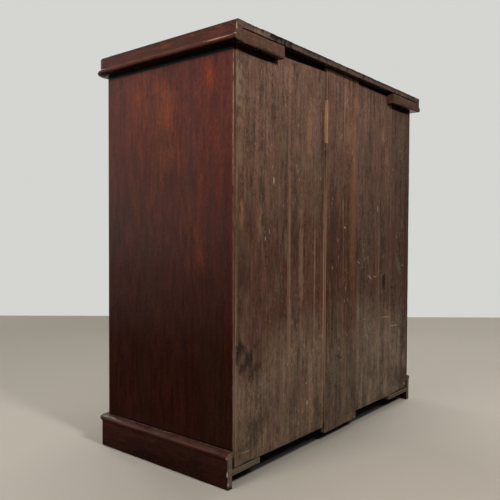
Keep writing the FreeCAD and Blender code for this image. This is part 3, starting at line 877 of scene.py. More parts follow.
@dataclass(frozen=True)
class AgedMetal(Finish):
    """Old brass or iron, tarnished, scratched and spotted."""

    clean: Paint = 0xC49A54
    tarnish: Paint = 0x5C4626
    spot: Paint = 0x32261A
    smooth: float = 0.28
    metal: float = 1.0

    def coat(self, bench: Bench) -> Coat:
        """Lays tarnish in clouds, spots, rubbed arrises and fine scratches.

        Args:
            bench: the material's bench.

        Returns:
            The coat.
        """
        place = bench.place()
        old = place.cloud(60.0, 5.0, 0.6).span(0.38, 0.66)
        spots, scratch = place.cloud(380.0, 3.0, 0.6), place.cloud(240.0, 2.0, 0.5, 14.0)
        colour = bench.mix(old, self.clean, self.tarnish).painted(
            (self.spot, spots.span(0.58, 0.7, 0.0, 0.8)),
            (self.clean, place.mask(EFFECTS.rubbed, Amount=0.9)))
        rough = old * 0.25 + scratch.span(0.4, 0.7) * 0.15 + self.smooth
        relief = spots * 0.6 + scratch * 0.3
        return Coat(colour, rough, relief, depth=0.0001, metal=self.metal)


def noted(faces: list[Face], layer: bmesh.types.BMLayerItem, amount: float = 1.0) -> None:
    """Notes some faces in a wear layer.

    Args:
        faces: the faces.
        layer: the layer.
        amount: how much, from 0 to 1.
    """
    for face in faces:
        for loop in face.loops:
            loop[layer] = amount


def sawn(shape: Shape, place: Vector | Triple, across: Vector | Triple) -> None:
    """Cuts the shape's faces along a plane, and keeps both halves."""
    bmesh.ops.bisect_plane(shape, geom=shape.verts[:] + shape.edges[:] + shape.faces[:],
                           plane_co=place, plane_no=across, dist=HAIR)


def softened(shape: Shape, edges: list[bmesh.types.BMEdge], offset: float) -> list[Face]:
    """Bevels some edges and gives the new faces."""
    return bmesh.ops.bevel(shape, geom=edges, offset=offset, offset_type="OFFSET", segments=2,
                           profile=0.5, affect="EDGES", material=-1, clamp_overlap=True)["faces"]


def with_layers(shape: Shape) -> Shape:
    """Gives a shape its wear layers.

    Args:
        shape: the shape.

    Returns:
        The same shape.
    """
    for name in (ARRIS_LAYER, FRESH_LAYER):
        shape.loops.layers.float.new(name)
    return shape


def finished(shape: Shape, name: str, body: str, slot: str, smooth_angle: float,
             *nodes: str) -> Piece:
    """Turns a finished shape into a piece of the chest.

    Args:
        shape: the shape, which is used up.
        name: the piece's name.
        body: the body that it rides.
        slot: a material slot's name, which is not used.
        smooth_angle: edges flatter than this many degrees are shaded smooth.
        nodes: the nodes that it replaces.

    Returns:
        The piece.
    """
    for face in shape.faces:
        squarely = max(abs(part) for part in face.normal)
        face.smooth = squarely < FLAT or face.calc_area() < BROAD
    mesh = bpy.data.meshes.new(name)
    shape.to_mesh(mesh)
    shape.free()
    mesh.set_sharp_from_angle(angle=math.radians(smooth_angle))
    piece = bpy.data.objects.new(name, mesh)
    bpy.context.scene.collection.objects.link(piece)
    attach(piece, body)
    if nodes:
        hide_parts(*nodes)
    return piece


@dataclass
class WornCopy:
    """A stand-in for a node: its own shape, with eased arrises that are knocked and rubbed."""

    node: str
    slot: str = "mahogany"
    body: str = "carcass"
    ease: float = 0.0012
    step: float = 0.03
    knock: float = 0.0008
    least_edge: float = 0.012
    margin: float = 0.006
    smooth_angle: float = 20.0
    wanted: Callable[[Vector], bool] = lambda middle: True
    cut: Callable[[Shape], None] | None = None
    ragged: Callable[[Vector], float] = lambda place: 1.0

    def solid(self) -> Shape:
        """The node's shape as whole faces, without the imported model's triangles.

        Returns:
            The shape, with its wear layers.
        """
        shape = bmesh.new()
        shape.from_mesh(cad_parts[self.node].data)
        bmesh.ops.remove_doubles(shape, verts=shape.verts, dist=MERGE)
        bmesh.ops.dissolve_limit(shape, angle_limit=COPLANAR, verts=shape.verts, edges=shape.edges)
        return with_layers(shape)

    def eased(self, shape: Shape) -> None:
        """Bevels the sharp outer edges and notes their faces as arrises.

        Args:
            shape: the shape being worn.
        """
        sharp = [
            edge for edge in shape.edges
            if edge.is_manifold and edge.is_convex and edge.calc_face_angle() > SHARP
            and edge.calc_length() > self.least_edge
            and self.wanted((edge.verts[0].co + edge.verts[1].co) / 2)
        ]
        noted(softened(shape, sharp, self.ease), shape.loops.layers.float[ARRIS_LAYER])

    def stepped(self, shape: Shape) -> None:
        """Cuts the shape across its length and beside its sides, to knock in only its arrises.

        Args:
            shape: the shape being worn.
        """
        low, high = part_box(self.node)
        size = high - low
        axis = max(range(3), key=lambda i: size[i])
        cuts = [(axis, count * self.step) for count in range(1, int(size[axis] / self.step))]
        for side in set(range(3)) - {axis}:
            if size[side] > 3.0 * self.margin:
                cuts += [(side, self.margin), (side, size[side] - self.margin)]
        for way, reach in cuts:
            across = Vector([1.0 if i == way else 0.0 for i in range(3)])
            sawn(shape, low + across * reach, across)

    def knocked(self, shape: Shape) -> None:
        """Moves points on the arrises inwards, a little and unevenly.

        Args:
            shape: the shape being worn.
        """
        arris = shape.loops.layers.float[ARRIS_LAYER]
        shape.normal_update()
        moves = {}
        for vert in shape.verts:
            if any(loop[arris] > 0.5 for loop in vert.link_loops):
                dent = sum(noise.noise(vert.co * fine) * share for fine, share in DENTS)
                depth = max(0.0, dent + DENT_BIAS) * self.knock * self.ragged(vert.co)
                moves[vert] = vert.normal * -depth
        for vert, move in moves.items():
            vert.co += move

    def build(self) -> Piece:
        """Makes the stand-in.

        Returns:
            The new piece, which rides its body and replaces the node.
        """
        shape = self.solid()
        self.eased(shape)
        self.stepped(shape)
        if self.cut is not None:
            self.cut(shape)
        self.knocked(shape)
        bmesh.ops.recalc_face_normals(shape, faces=shape.faces)
        return finished(shape, f"{self.node}_worn", self.body, self.slot, self.smooth_angle,
                        self.node)


def board_sides(seed: float) -> Iterator[tuple[str, Along, float]]:
    """The sides that a frame of three boards has.

    Args:
        seed: the first board's seed.

    Yields:
        Each side's name, grain and seed.
    """
    for count, (side, grain) in enumerate(BOARD_SIDES.items()):
        yield side, grain, seed + count


@dataclass
class SubAssembly(ABC):
    """A part of the chest that is built and dressed together."""

    @abstractmethod
    def pieces(self) -> Iterator[Piece]:
        """Builds and dresses each piece in turn."""

    def dress(self, piece: Piece, finish: Finish) -> Piece:
        """Puts a finish on a piece.

        Args:
            piece: a new piece or a node's object.
            finish: what it is finished with.

        Returns:
            The same piece.
        """
        materials = piece.data.materials
        for place in range(len(materials)):
            materials[place] = finish.made()
        if not materials:
            materials.append(finish.made())
        return piece

    def node(self, name: str, finish: Finish) -> Piece:
        """Dresses a node that keeps its own shape."""
        return self.dress(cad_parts[name], finish)

    def worn(self, finish: Finish, node: str, **sizes: object) -> Piece:
        """Builds and dresses the worn copy of a node."""
        return self.dress(WornCopy(node, **sizes).build(), finish)

    def report(self) -> None:
        """Builds the sub-assembly and logs each piece."""
        for piece in self.pieces():
            LOG.info("%s: %s, %d faces", type(self).__name__, piece.name, len(piece.data.polygons))


@dataclass
class Carcass(SubAssembly):
    """Sides, bottom, rails, divider, bearers and stops."""

    # Painted shadow: the sides are painted near black above these heights, under the top's
    # overhang.
    painted_shade_band: tuple[float, float] = (1.0105, 1.0125)

    def side_marks(self) -> tuple[Mark, ...]:
        """Where the right side's polish glows, has gone dull or is rubbed.

        Returns:
            The marks, from y, z, half sizes, paint, strength, raggedness and softness.
        """
        amber, red, dull = 0x9E4E26, 0x802818, 0x4A3226
        return tuple(on_side(*row) for row in (
            (-40, 900, 150, 130, 0x7A3C28, 0.5, 0.5, 1.5), (-95, 955, 22, 50, amber),
            (20, 900, 45, 75, amber, 0.5), (-20, 965, 30, 30, amber, 0.45),
            (165, 965, 30, 55, 0x9C3C1E), (20, 790, 40, 50, 0x8C4828, 0.45),
            (175, 830, 20, 50, red, 0.5), (0, 550, 300, 200, 0x583226, 0.45, 0.5, 1.5),
            (-60, 530, 70, 130, dull, 0.5), (131, 535, 16, 50, 0xA04822, 0.65),
            (95, 720, 30, 100, dull, 0.45), (-170, 620, 50, 160, 0x4E2E2A, 0.5),
            (205, 900, 12, 130, 0x542424, 0.5), (232, 600, 8, 420, red, 0.5),
            (130, 660, 12, 200, 0x883820, 0.45), (190, 680, 12, 160, red, 0.4),
            (237.5, 860, 1.6, 170, 0xBA927C, 0.7, 1.2, 0.4),
            (237.5, 450, 1.4, 300, 0x966452, 0.7, 1.2, 0.4)))

    def scars(self) -> tuple[Mark, ...]:
        """Black housings and lines on the sides, and the pale rear edge of the right one.

        Returns:
            The marks.
        """
        black = 0x090605
        return (
            *(Mark((x, 239, 56), (4.5, 4, 14), black, 0.95, 0.1, 0.3) for x in (473.5, -473.5)),
            Mark((478, 0, 88.5), (4, 600, 3.5), black, 0.7, 0.3),
            Mark((474, 239.5, 200), (7, 3, 160), 0x7A665A, 0.75, 0.5),
            Mark((476, 239.5, 500), (4, 3, 400), 0x705446, 0.5, 1.2))

    def pieces(self) -> Iterator[Piece]:
        """Builds the worn sides and dresses the frame inside them.

        Yields:
            Each piece.
        """
        sides = (("side_right", Facing.LEFT, 3.0, self.side_marks()),
                 ("side_left", Facing.RIGHT, 8.0, ()))
        for name, inner, seed, marks in sides:
            finish = Polish(
                f"{name}_polish", seed=seed, painted_shade_band=self.painted_shade_band, rub=0.48, bare=0x54372A, marks=marks,
                scars=self.scars(), bare_faces=(inner, Facing.BACK, Facing.UP, Facing.DOWN))
            yield self.worn(finish, name, ease=0.0011, step=0.014, knock=0.0013)
        rail = Polish("rail_polish", grain=Along.X, seed=5.0, foot_shade=0.7,
                      bare_faces=(Facing.BACK, Facing.UP), painted_shade_faces=(Facing.DOWN,))
        divider = Polish("divider_polish", seed=6.0,
                         bare_faces=(Facing.BACK, Facing.LEFT, Facing.RIGHT))
        inside = InsidePine("carcass_pine", 0.3, grain=Along.Y, dusting=0.6)
        # Painted shade: the back rail is painted near black, as it sits in the dark gap under the
        # top.
        shaded = InsidePine("back_rail_pine", 0.1, grain=Along.X, seed=4.0, dusting=0.1,
                            pale=0x261C16, dark=0x140E0B)
        for name, finish in (
                ("top_rail_front", rail), ("drawer_rails", rail), ("carcass_bottom", rail),
                ("centre_divider", divider), ("drawer_bearers", inside), ("drawer_stops", inside),
                ("top_rail_back", shaded)):
            yield self.node(name, finish)


@dataclass
class Top(SubAssembly):
    """The top board, its linings and the blocks at the back."""

    rough_from: float = 0.253
    torn: tuple[float, float] = (0.28, 0.42)
    eased_from: float = 0.26
    lining_foot: float = 1.03
    # Painted shade: the linings are painted near black below their bead, between these heights.
    painted_shade_band: tuple[float, float] = (1.0264, 1.0234)

    def rear_rough(self, place: Vector) -> float:
        """How much rougher an arris is knocked along the back edge, most of all where it is torn.

        Args:
            place: a point on the arris.

        Returns:
            How many times the usual.
        """
        if place.y < self.rough_from:
            return 0.5
        return 7.0 if self.torn[0] < place.x < self.torn[1] else 3.2

    def edge_marks(self) -> tuple[Mark, ...]:
        """Nicks and worn places along the top's edges and corners.

        Returns:
            The marks, first on the right and then along the back.
        """
        raw = 0x96705C
        return tuple(Mark(*row) for row in (
            ((497, 263.5, 1056), (1.4, 1.6, 11), 0xCEBAA8, 0.7, 0.8, 0.4),
            ((502, 263, 1036), (5, 3, 2.8), 0xCEBEAE, 0.75, 0.8, 0.5),
            ((497, 155, 1069.5), (4, 4, 1.8), raw, 0.9, 0.3, 0.4),
            ((497, 30, 1053), (10, 30, 7), 0x843E24, 0.5, 0.7),
            ((497, 200, 1050), (10, 50, 9), 0x683022, 0.5, 0.7),
            ((499, 0, 1068), (8, 400, 5), 0x281612, 0.8, 0.7),
            ((505, 215, 1033.5), (4, 50, 2.2), 0xBE8E74, 0.7, 0.5, 0.5),
            ((420, 265, 1060), (30, 4, 5), raw, 0.4, 0.8),
            ((385, 265, 1057), (30, 4, 3.5), 0x967062, 0.4, 1.0),
            ((335, 265, 1066.5), (50, 6, 7), 0x0E0A08, 0.95, 1.3),
            ((200, 265, 1066), (140, 4, 5.5), 0x221914, 0.75, 0.9),
            ((-150, 265, 1067), (360, 4, 5), 0x261C17, 0.65, 0.9)))

    def pieces(self) -> Iterator[Piece]:
        """Builds the top board, its linings and its blocks.

        Yields:
            Each piece.
        """
        marks = self.edge_marks()
        rear_only = {"bare_faces": (Facing.BACK,), "painted_shade_faces": (Facing.DOWN,), "scars": marks}
        finish = Polish("top_polish", grain=Along.X, figure=Figure.CATHEDRAL, seed=11.0, depth=0.66,
                        rub=0.45, bare=0x58453A, chips=0.95, pith=(0.03, 0.05, 0.0), **rear_only)
        yield self.worn(finish, "top_board", ease=0.0018, step=0.009, knock=0.0011,
                        wanted=lambda middle: middle.y > self.eased_from, ragged=self.rear_rough)
        for side, grain, seed in board_sides(12.0):
            finish = Polish(f"lining_{side}_polish", grain=grain, seed=seed, bare=0x563E32,
                            depth=0.68, rub=0.55, painted_shade_band=self.painted_shade_band, **rear_only)
            yield self.worn(
                finish, f"top_moulding_{side}", ease=0.001, step=0.014, knock=0.001,
                wanted=lambda middle: middle.y > self.eased_from and middle.z > self.lining_foot)
        scars = tuple(Mark((x, 265, 1023.8), (100, 4, 3.2), 0x1E1511, 0.75) for x in (390, -390))
        blocks = Polish(
            "block_mahogany", grain=Along.X, seed=15.0, foot_shade=0.95, bare=0x563C30, scars=scars,
            bare_faces=(Facing.BACK, Facing.LEFT, Facing.RIGHT), painted_shade_faces=(Facing.DOWN,))
        yield self.worn(blocks, "rear_lining_blocks", ease=0.001, step=0.012, knock=0.0012)


@dataclass
class Back(SubAssembly):
    """Six upright boards of the back and their nails."""

    split_low: float = 0.8535
    split_high: float = 0.957
    split_ease: float = 0.0055
    split_reach: float = 0.003
    split_slope: float = 0.9
    split_slack: float = 1e-4

    def split(self, shape: Shape) -> None:
        """Breaks a sliver out of the third board's right arris, down to fresh wood.

        Args:
            shape: the board's shape.
        """
        fresh = shape.loops.layers.float[FRESH_LAYER]
        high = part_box("back_board_3")[1]
        for level in (self.split_low, self.split_high):
            sawn(shape, (0.0, 0.0, level), (0.0, 0.0, 1.0))
        low, top = self.split_low - self.split_slack, self.split_high + self.split_slack
        for vert in shape.verts:
            inward = high - vert.co
            if max(inward.x, inward.y) < self.split_reach and low < vert.co.z < top:
                broken = high.x - (self.split_ease - inward.y) * self.split_slope
                vert.co.x = min(vert.co.x, broken)
                noted([face for face in vert.link_faces if abs(face.normal.z) < 0.5
                       and face.calc_center_median().x > high.x - self.split_ease], fresh)

    def marks(self) -> dict[int, tuple[Mark, ...]]:
        """The marks on each board.

        Returns:
            The marks by the board's number, from x, z, half sizes, paint, strength, raggedness,
            turn and softness.
        """
        pale, dusty, dark = 0xB0947A, 0x7A5F4C, 0x241914
        bloom, olive, tan = 0x8E7C68, 0x64543E, 0xB08868
        black = 0x0A0706
        boards = {
            1: ((463, 930, 13, 90, bloom, 0.6, 2.0), (446, 915, 12, 60, dusty, 0.55, 2.0),
                (457, 780, 13, 60, dusty), (466, 710, 3, 100, 0x92765C, 0.5, 1.4),
                (468.2, 300, 1.8, 270, 0x967E6E, 0.75, 0.9, 0, 0.5),
                (467, 460, 3, 90, 0x8C6E54, 0.45, 1.6), (463, 600, 6, 450, 0x5C4E3A, 0.5, 1.5),
                (440, 500, 34, 60, 0x342219, 0.55, 1.3), (323, 723, 4, 12, pale, 0.9),
                (452, 322, 22, 26, dark, 0.85, 1.4, 0.3), (463, 302, 8, 30, 0x1C1B1E, 0.9, 1.1),
                (425, 290, 46, 18, 0x2E1C16, 0.85, 1.6, -0.8),
                (400, 262, 30, 12, 0x36221A, 0.7, 1.6, -0.5),
                # Painted shadow: black bands along the board's foot and under the lining block.
                (421, 45.8, 50, 3.4, black, 0.95, 0.1, 0, 0.3),
                (392, 1018.5, 92, 8.5, black, 0.95, 0.15, 0, 0.25),
                (430, 73, 22, 1.6, pale, 0.7, 0.6, 0.1), (466, 200, 6, 120, dusty, 0.7),
                (447, 640, 10, 50, 0x886442, 0.6, 1.1), (380, 620, 12, 60, dusty, 0.6, 1.2),
                (270, 570, 14, 50, olive, 0.7), (290, 820, 22, 50, olive, 0.7, 1.2),
                (280, 120, 20, 50, olive, 0.6)),
            2: ((254, 520, 6.5, 490, dusty, 0.8, 0.7), (134, 460, 6.5, 300, dusty, 0.8, 0.9),
                (200, 500, 13, 260, dusty, 0.7, 1.3), (87, 440, 3.6, 420, tan, 0.7, 0.5),
                (84.5, 905, 3.2, 66, tan, 0.9, 0.2), (165, 860, 18, 100, 0x866248, 0.6, 1.2),
                (172, 187, 3.5, 4, pale, 0.9), (167, 132, 5, 8, pale, 0.9),
                (120, 110, 22, 45, 0x3C3126, 0.6, 1.4)),
            # A pale worn arris, with painted light on the step face of the board's edge.
            3: ((82.5, 430, 1.8, 420, 0xA68064, 0.9, 0.1, 0, 0.3),
                (82.5, 1010, 1.8, 60, 0x88624C, 0.9, 0.1, 0, 0.3),
                (75.5, 1005, 1.4, 46, 0x0E0907, 0.95, 0.3), (40, 620, 20, 140, 0x3C2A22, 0.5, 1.2),
                (47, 495, 5, 7, dusty, 0.8), (-2, 230, 22, 3, dark, 0.8, 1.6, 0.35),
                (8, 238, 12, 2.5, dark, 0.8, 1.6, -0.5), (-8, 672, 5, 30, dusty, 0.8, 0.6, 0.2)),
            4: ((-17.5, 940, 2.2, 100, 0x96745E, 0.65, 0.5),
                (-70, 660, 24, 360, 0x765036, 0.65, 0.9), (-78, 840, 11, 200, 0x8A5E3E, 0.55),
                (-22, 611, 4.5, 4.5, pale, 0.9), (-40, 300, 8, 200, 0x382820, 0.5)),
            5: ((-106, 545, 9, 45, 0x221E20, 0.8, 1.0), (-115, 505, 10, 2.5, pale, 0.8, 0.6, 0.5),
                (-106, 200, 6, 170, dusty, 0.85), (-240, 672, 3.5, 14, pale, 0.75, 0.6, -0.3),
                (-272, 910, 14, 30, 0x8C7260, 0.7, 0.9), (-250, 550, 6, 380, dusty, 0.6, 1.0),
                (-190, 455, 20, 2.6, pale, 0.8, 0.6, 0.5), (-225, 455, 13, 2, pale, 0.7, 0.6, -0.1),
                (-156, 326, 10, 2.4, pale, 0.7, 0.6, 0.4),
                (-305, 316.5, 45, 1.8, pale, 0.85, 0.6, 0.02), (-320, 236, 12, 2, pale, 0.7)),
            # Painted shadow: black under the lining block and along the board's foot.
            6: ((-387, 1018.5, 100, 8.5, black, 0.95, 0.15, 0, 0.25),
                (-407, 46, 70, 3.4, black, 0.95, 0.1, 0, 0.3),
                (-360, 281, 52, 2, pale, 0.85, 0.6, 0.05), (-430, 484, 16, 1.8, pale, 0.7),
                (-395, 490, 18, 50, 0x6C624E, 0.6, 1.2, -0.5), (-345, 413, 6, 6, dark, 0.85),
                (-456, 63, 8, 6, pale, 0.85), (-452, 600, 15, 400, 0x2E2621, 0.65, 0.8),
                (-440, 240, 35, 100, 0x2C241D, 0.6, 1.2)),
        }
        return {number: tuple(on_back(*row) for row in rows) for number, rows in boards.items()}

    def pieces(self) -> Iterator[Piece]:
        """Builds the worn boards and dresses the nails.

        Yields:
            Each piece.
        """
        tones = {1: (1.0, 0.02), 2: (1.02, 0.02), 3: (0.94, 0.02),
                 4: (1.0, 0.05), 5: (1.0, 0.0), 6: (0.95, 0.0)}
        middle = {"heart": 0x482D21, "bloom": 0x5F4F42}
        grey = {"heart": 0x513A2E, "bloom": 0x746353}
        palettes = {3: middle, 4: middle, 5: grey, 6: {**grey, "head": 0x5A4439}}
        knots = {5: ((-0.288, 0.438, 0.013),), 6: ((-0.35, 0.412, 0.004),)}
        marks = self.marks()
        for number, (bright, warmth) in tones.items():
            finish = BackPine(
                f"back_board_{number}_pine", 0.1, seed=number * 1.7, bright=bright, warmth=warmth,
                marks=marks[number], knots=knots.get(number, ()), **palettes.get(number, {}))
            yield self.worn(finish, f"back_board_{number}", slot="weathered_pine", ease=0.0013,
                            step=0.02, knock=0.0014, cut=self.split if number == 3 else None)
        iron = AgedMetal("nail_iron", 0.3, 0x786C62, 0x46362C, 0x543220, 0.5, 0.6)
        yield self.node("back_nails", iron)


@dataclass
class Plinth(SubAssembly):
    """The plinth boards, and the blocks behind and under the carcass."""

    rough_from: float = 0.225
    eased_from: float = 0.2
    floor_edge: float = 0.01

    def rear_rough(self, place: Vector) -> float:
        """How much rougher an arris is knocked at the back end."""
        return 2.2 if place.y > self.rough_from else 1.0

    def nicks_and_highlights(self) -> tuple[Mark, ...]:
        """Chips at the right plinth's back corner and painted highlights on its bead and fillet.

        Returns:
            The marks.
        """
        pale = 0xD6CABA
        return tuple(Mark(*row) for row in (
            ((487, 239, 3), (14, 4, 8), 0x18110E, 0.85, 0.7),
            ((492.5, 238.5, 45), (1.6, 3, 26), 0x2C1E1A, 0.8, 0.7),
            ((495.2, 237.5, 37), (1.6, 2.2, 8.5), pale, 0.9, 0.6, 0.4),
            ((493, 238, 13.5), (2.2, 2.4, 6), pale, 0.85, 0.6, 0.4),
            ((498.5, 238, 76.5), (3, 3, 4), 0x968270, 0.8, 0.5, 0.5),
            ((495, 190, 18), (10, 30, 12), 0x421813, 0.6, 0.8),
            # Painted highlights: paler lines along the bead and the top fillet.
            ((499.5, 120, 81), (6, 100, 3.5), 0x603428, 0.5, 0.7),
            ((499.5, -100, 81), (6, 120, 3.5), 0x5A3228, 0.5, 0.7),
            ((479, 0, 86.8), (2.5, 600, 1.2), 0x966E5A, 0.7, 0.9, 0.5)))

    def pieces(self) -> Iterator[Piece]:
        """Builds the plinth and its blocks.

        Yields:
            Each piece.
        """
        for side, grain, seed in board_sides(21.0):
            finish = Polish(
                f"plinth_{side}_polish", grain=grain, seed=seed, bare=0x68584B, rub=0.6,
                deep=0x4A241B, body=0x5A3227, bright=0x6A3C2E,
                bare_faces=(Facing.BACK,), painted_shade_faces=(Facing.DOWN,), foot_shade=0.25, foot=0.0,
                head=0.2, depth=0.9, scars=self.nicks_and_highlights())
            yield self.worn(
                finish, f"plinth_{side}", ease=0.0013, step=0.012, knock=0.0014,
                ragged=self.rear_rough,
                wanted=lambda middle: middle.y > self.eased_from or middle.z < self.floor_edge)
        blocks = InsidePine("block_pine", 0.2, grain=Along.X, pale=0x6E6252, dark=0x463C30,
                            seed=7.0, worn=0x96846A)
        yield self.worn(blocks, "plinth_blocks", slot="pine", ease=0.001, step=0.02, knock=0.001)


@dataclass
class Drawer(SubAssembly):
    """One drawer: its front, box, knobs, lock and bolt."""

    name: str
    seed: float
    knob_reach: float = 0.046
    knob_turns: int = 56
    knob_outline: tuple[tuple[float, float], ...] = (
        (0, 17.8), (9, 17.8), (9, 0), (17.2, 0), (18, -0.8), (18, -2.6), (17.2, -3.4), (16.5, -3.6),
        (16.3, -4.6), (15.5, -5.6), (12.8, -6.2), (11.2, -7.8), (10.4, -10.5), (10.8, -13.5),
        (12.2, -15.6), (12.6, -16.3), (13.6, -16.6), (14.2, -17.4), (15.5, -18.0), (19.6, -20.3),
        (22.6, -23.2), (24.4, -26.7), (25, -30.0), (24.7, -32.8), (23.6, -35.8), (21.6, -38.8),
        (19.6, -40.6), (19.0, -40.8), (18.6, -41.4), (16.0, -43.1), (12.0, -44.8), (7.0, -45.7),
        (0, -46),
    )
    knob_rubbed: float = 0.02
    front_arris: float = 0.003
    front_flat: float = 0.985
    screw_radius: float = 0.0026
    screw_sides: int = 20
    screw_thickness: float = 0.0008
    screw_ease: float = 0.0002
    screw_proud: float = 0.0001
    screw_spread: float = 0.0325
    screw_drops: tuple[float, float] = (0.008, 0.036)
    screw_turns: tuple[float, float] = (0.6, 1.1)

    @property
    def body(self) -> str:
        """The body that the drawer rides on."""
        return f"drawer_{self.name}"

    def part(self, piece: str) -> str:
        """The node name of one of the drawer's parts."""
        return f"{self.name}_drawer_{piece}"

    def front(self) -> Piece:
        """The drawer front, with its small rounded arris noted for wear.

        Returns:
            The piece.
        """
        node = self.part("front")
        shape = WornCopy(node).solid()
        rounded = [face for face in shape.faces
                   if max(abs(part) for part in face.normal) < self.front_flat
                   and min(edge.calc_length() for edge in face.edges) < self.front_arris]
        noted(rounded, shape.loops.layers.float[ARRIS_LAYER])
        return finished(shape, node + "_worn", self.body, "mahogany", 40.0, node)

    def knob(self, shape: Shape, middle: Vector) -> None:
        """Turns one knob about an axis along Y.

        Args:
            shape: the knobs' shape.
            middle: where the knob's axis meets the plane of the drawer front.
        """
        points = [shape.verts.new(middle + Vector((radius, y, 0.0)) / MILLIMETRES)
                  for radius, y in self.knob_outline]
        edges = [shape.edges.new(pair) for pair in zip(points, points[1:])]
        bmesh.ops.spin(shape, geom=points + edges, cent=middle, axis=(0.0, 1.0, 0.0),
                       angle=math.tau, steps=self.knob_turns, use_merge=True, use_duplicate=False)

    def knobs(self) -> Piece:
        """Both knobs, with their rounded fronts noted as rubbed.

        Returns:
            The piece.
        """
        node = self.part("knobs")
        low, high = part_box(node)
        radius = (high.z - low.z) / 2
        both = bmesh.new()
        for x in (low.x + radius, high.x - radius):
            self.knob(both, Vector((x, low.y + self.knob_reach, (low.z + high.z) / 2)))
        bmesh.ops.remove_doubles(both, verts=both.verts, dist=MERGE)
        bmesh.ops.recalc_face_normals(both, faces=both.faces)
        arris = with_layers(both).loops.layers.float[ARRIS_LAYER]
        rubbed = [face for face in both.faces
                  if face.calc_center_median().y - low.y < self.knob_rubbed]
        noted(rubbed, arris, 0.8)
        return finished(both, node + "_turned", self.body, "mahogany", 50.0, node)

    def screws(self) -> Piece:
        """Four screws in the lock's plate, each turned its own way.

        Returns:
            The piece.
        """
        low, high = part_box(self.part("lock"))
        shape = with_layers(bmesh.new())
        places = [(side, drop) for drop in self.screw_drops for side in (-1, 1)]
        first, further = self.screw_turns
        for index, (side, drop) in enumerate(places):
            across = (low.x + high.x) / 2 + side * self.screw_spread
            middle = Matrix.Translation((across, high.y + self.screw_proud, high.z - drop))
            turn = Matrix.Rotation(first + index * further + self.seed, 4, "Y")
            head = bmesh.ops.create_cone(
                shape, cap_ends=True, segments=self.screw_sides, radius1=self.screw_radius,
                radius2=self.screw_radius, depth=self.screw_thickness,
                matrix=middle @ turn @ Matrix.Rotation(math.pi / 2, 4, "X"))
            rim = dict.fromkeys(edge for vert in head["verts"] for edge in vert.link_edges
                                if all(end.co.y > high.y for end in edge.verts))
            softened(shape, list(rim), self.screw_ease)
        return finished(shape, self.part("lock") + "_screws", self.body, "iron", 40.0)

    def pieces(self) -> Iterator[Piece]:
        """Builds and dresses the drawer's parts.

        Yields:
            Each piece.
        """
        veneer = Polish(
            f"{self.name}_front_polish", 0.4, grain=Along.X, figure=Figure.CATHEDRAL,
            seed=self.seed, bare_faces=tuple(Facing),
            bare=0x7A543C, foot_shade=0.75, foot=0.1, head=0.6, rub=0.5, spacing=0.02,
            wander=0.05, pith=(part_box(self.part("front"))[0].z * -1.0 - 0.1, 0.3, 0.0))
        yield self.dress(self.front(), veneer)
        turned = Polish("knob_polish", 0.5, grain=Along.Y, seed=31.0, foot_shade=0.9, rub=0.35,
                        dusting=0.1, spacing=0.008)
        yield self.dress(self.knobs(), turned)
        steel = AgedMetal("bolt_iron", 0.5, 0x96928C, 0x5C544C, 0x4A3426, 0.32, 0.9)
        wood = "drawer_{}_wood".format
        for part, finish in {
            "sides": InsidePine(wood("side"), 0.35, grain=Along.Y, seed=2.0, dusting=0.15),
            "back": InsidePine(wood("back"), 0.35, grain=Along.X, seed=3.0, dusting=0.1),
            "bottom": InsidePine(wood("bottom"), 0.35, grain=Along.X, seed=6.0, dusting=0.3,
                                 ring=0.008),
            "lock": AgedMetal("lock_brass", 0.5),
            "bolt": steel,
        }.items():
            yield self.node(self.part(part), finish)
        yield self.dress(self.screws(), steel)


@dataclass(frozen=True)
class Lamp:
    """One soft lamp: its place, what it looks at, its width, its power and its height."""

    name: str
    place: Triple
    aim: Triple
    side: float
    watts: float
    height: float | None = None

    def hang(self) -> None:
        """Hangs the lamp."""
        data = bpy.data.lights.new(self.name, "AREA")
        data.shape = "RECTANGLE"
        data.size, data.size_y = self.side, self.height or self.side
        data.energy = self.watts
        hung = bpy.data.objects.new(self.name, data)
        look = (Vector(self.aim) - Vector(self.place)).to_track_quat("-Z", "Y").to_matrix().to_4x4()
        hung.matrix_world = Matrix.Translation(self.place) @ look
        hung.visible_camera = False
        bpy.context.scene.collection.objects.link(hung)


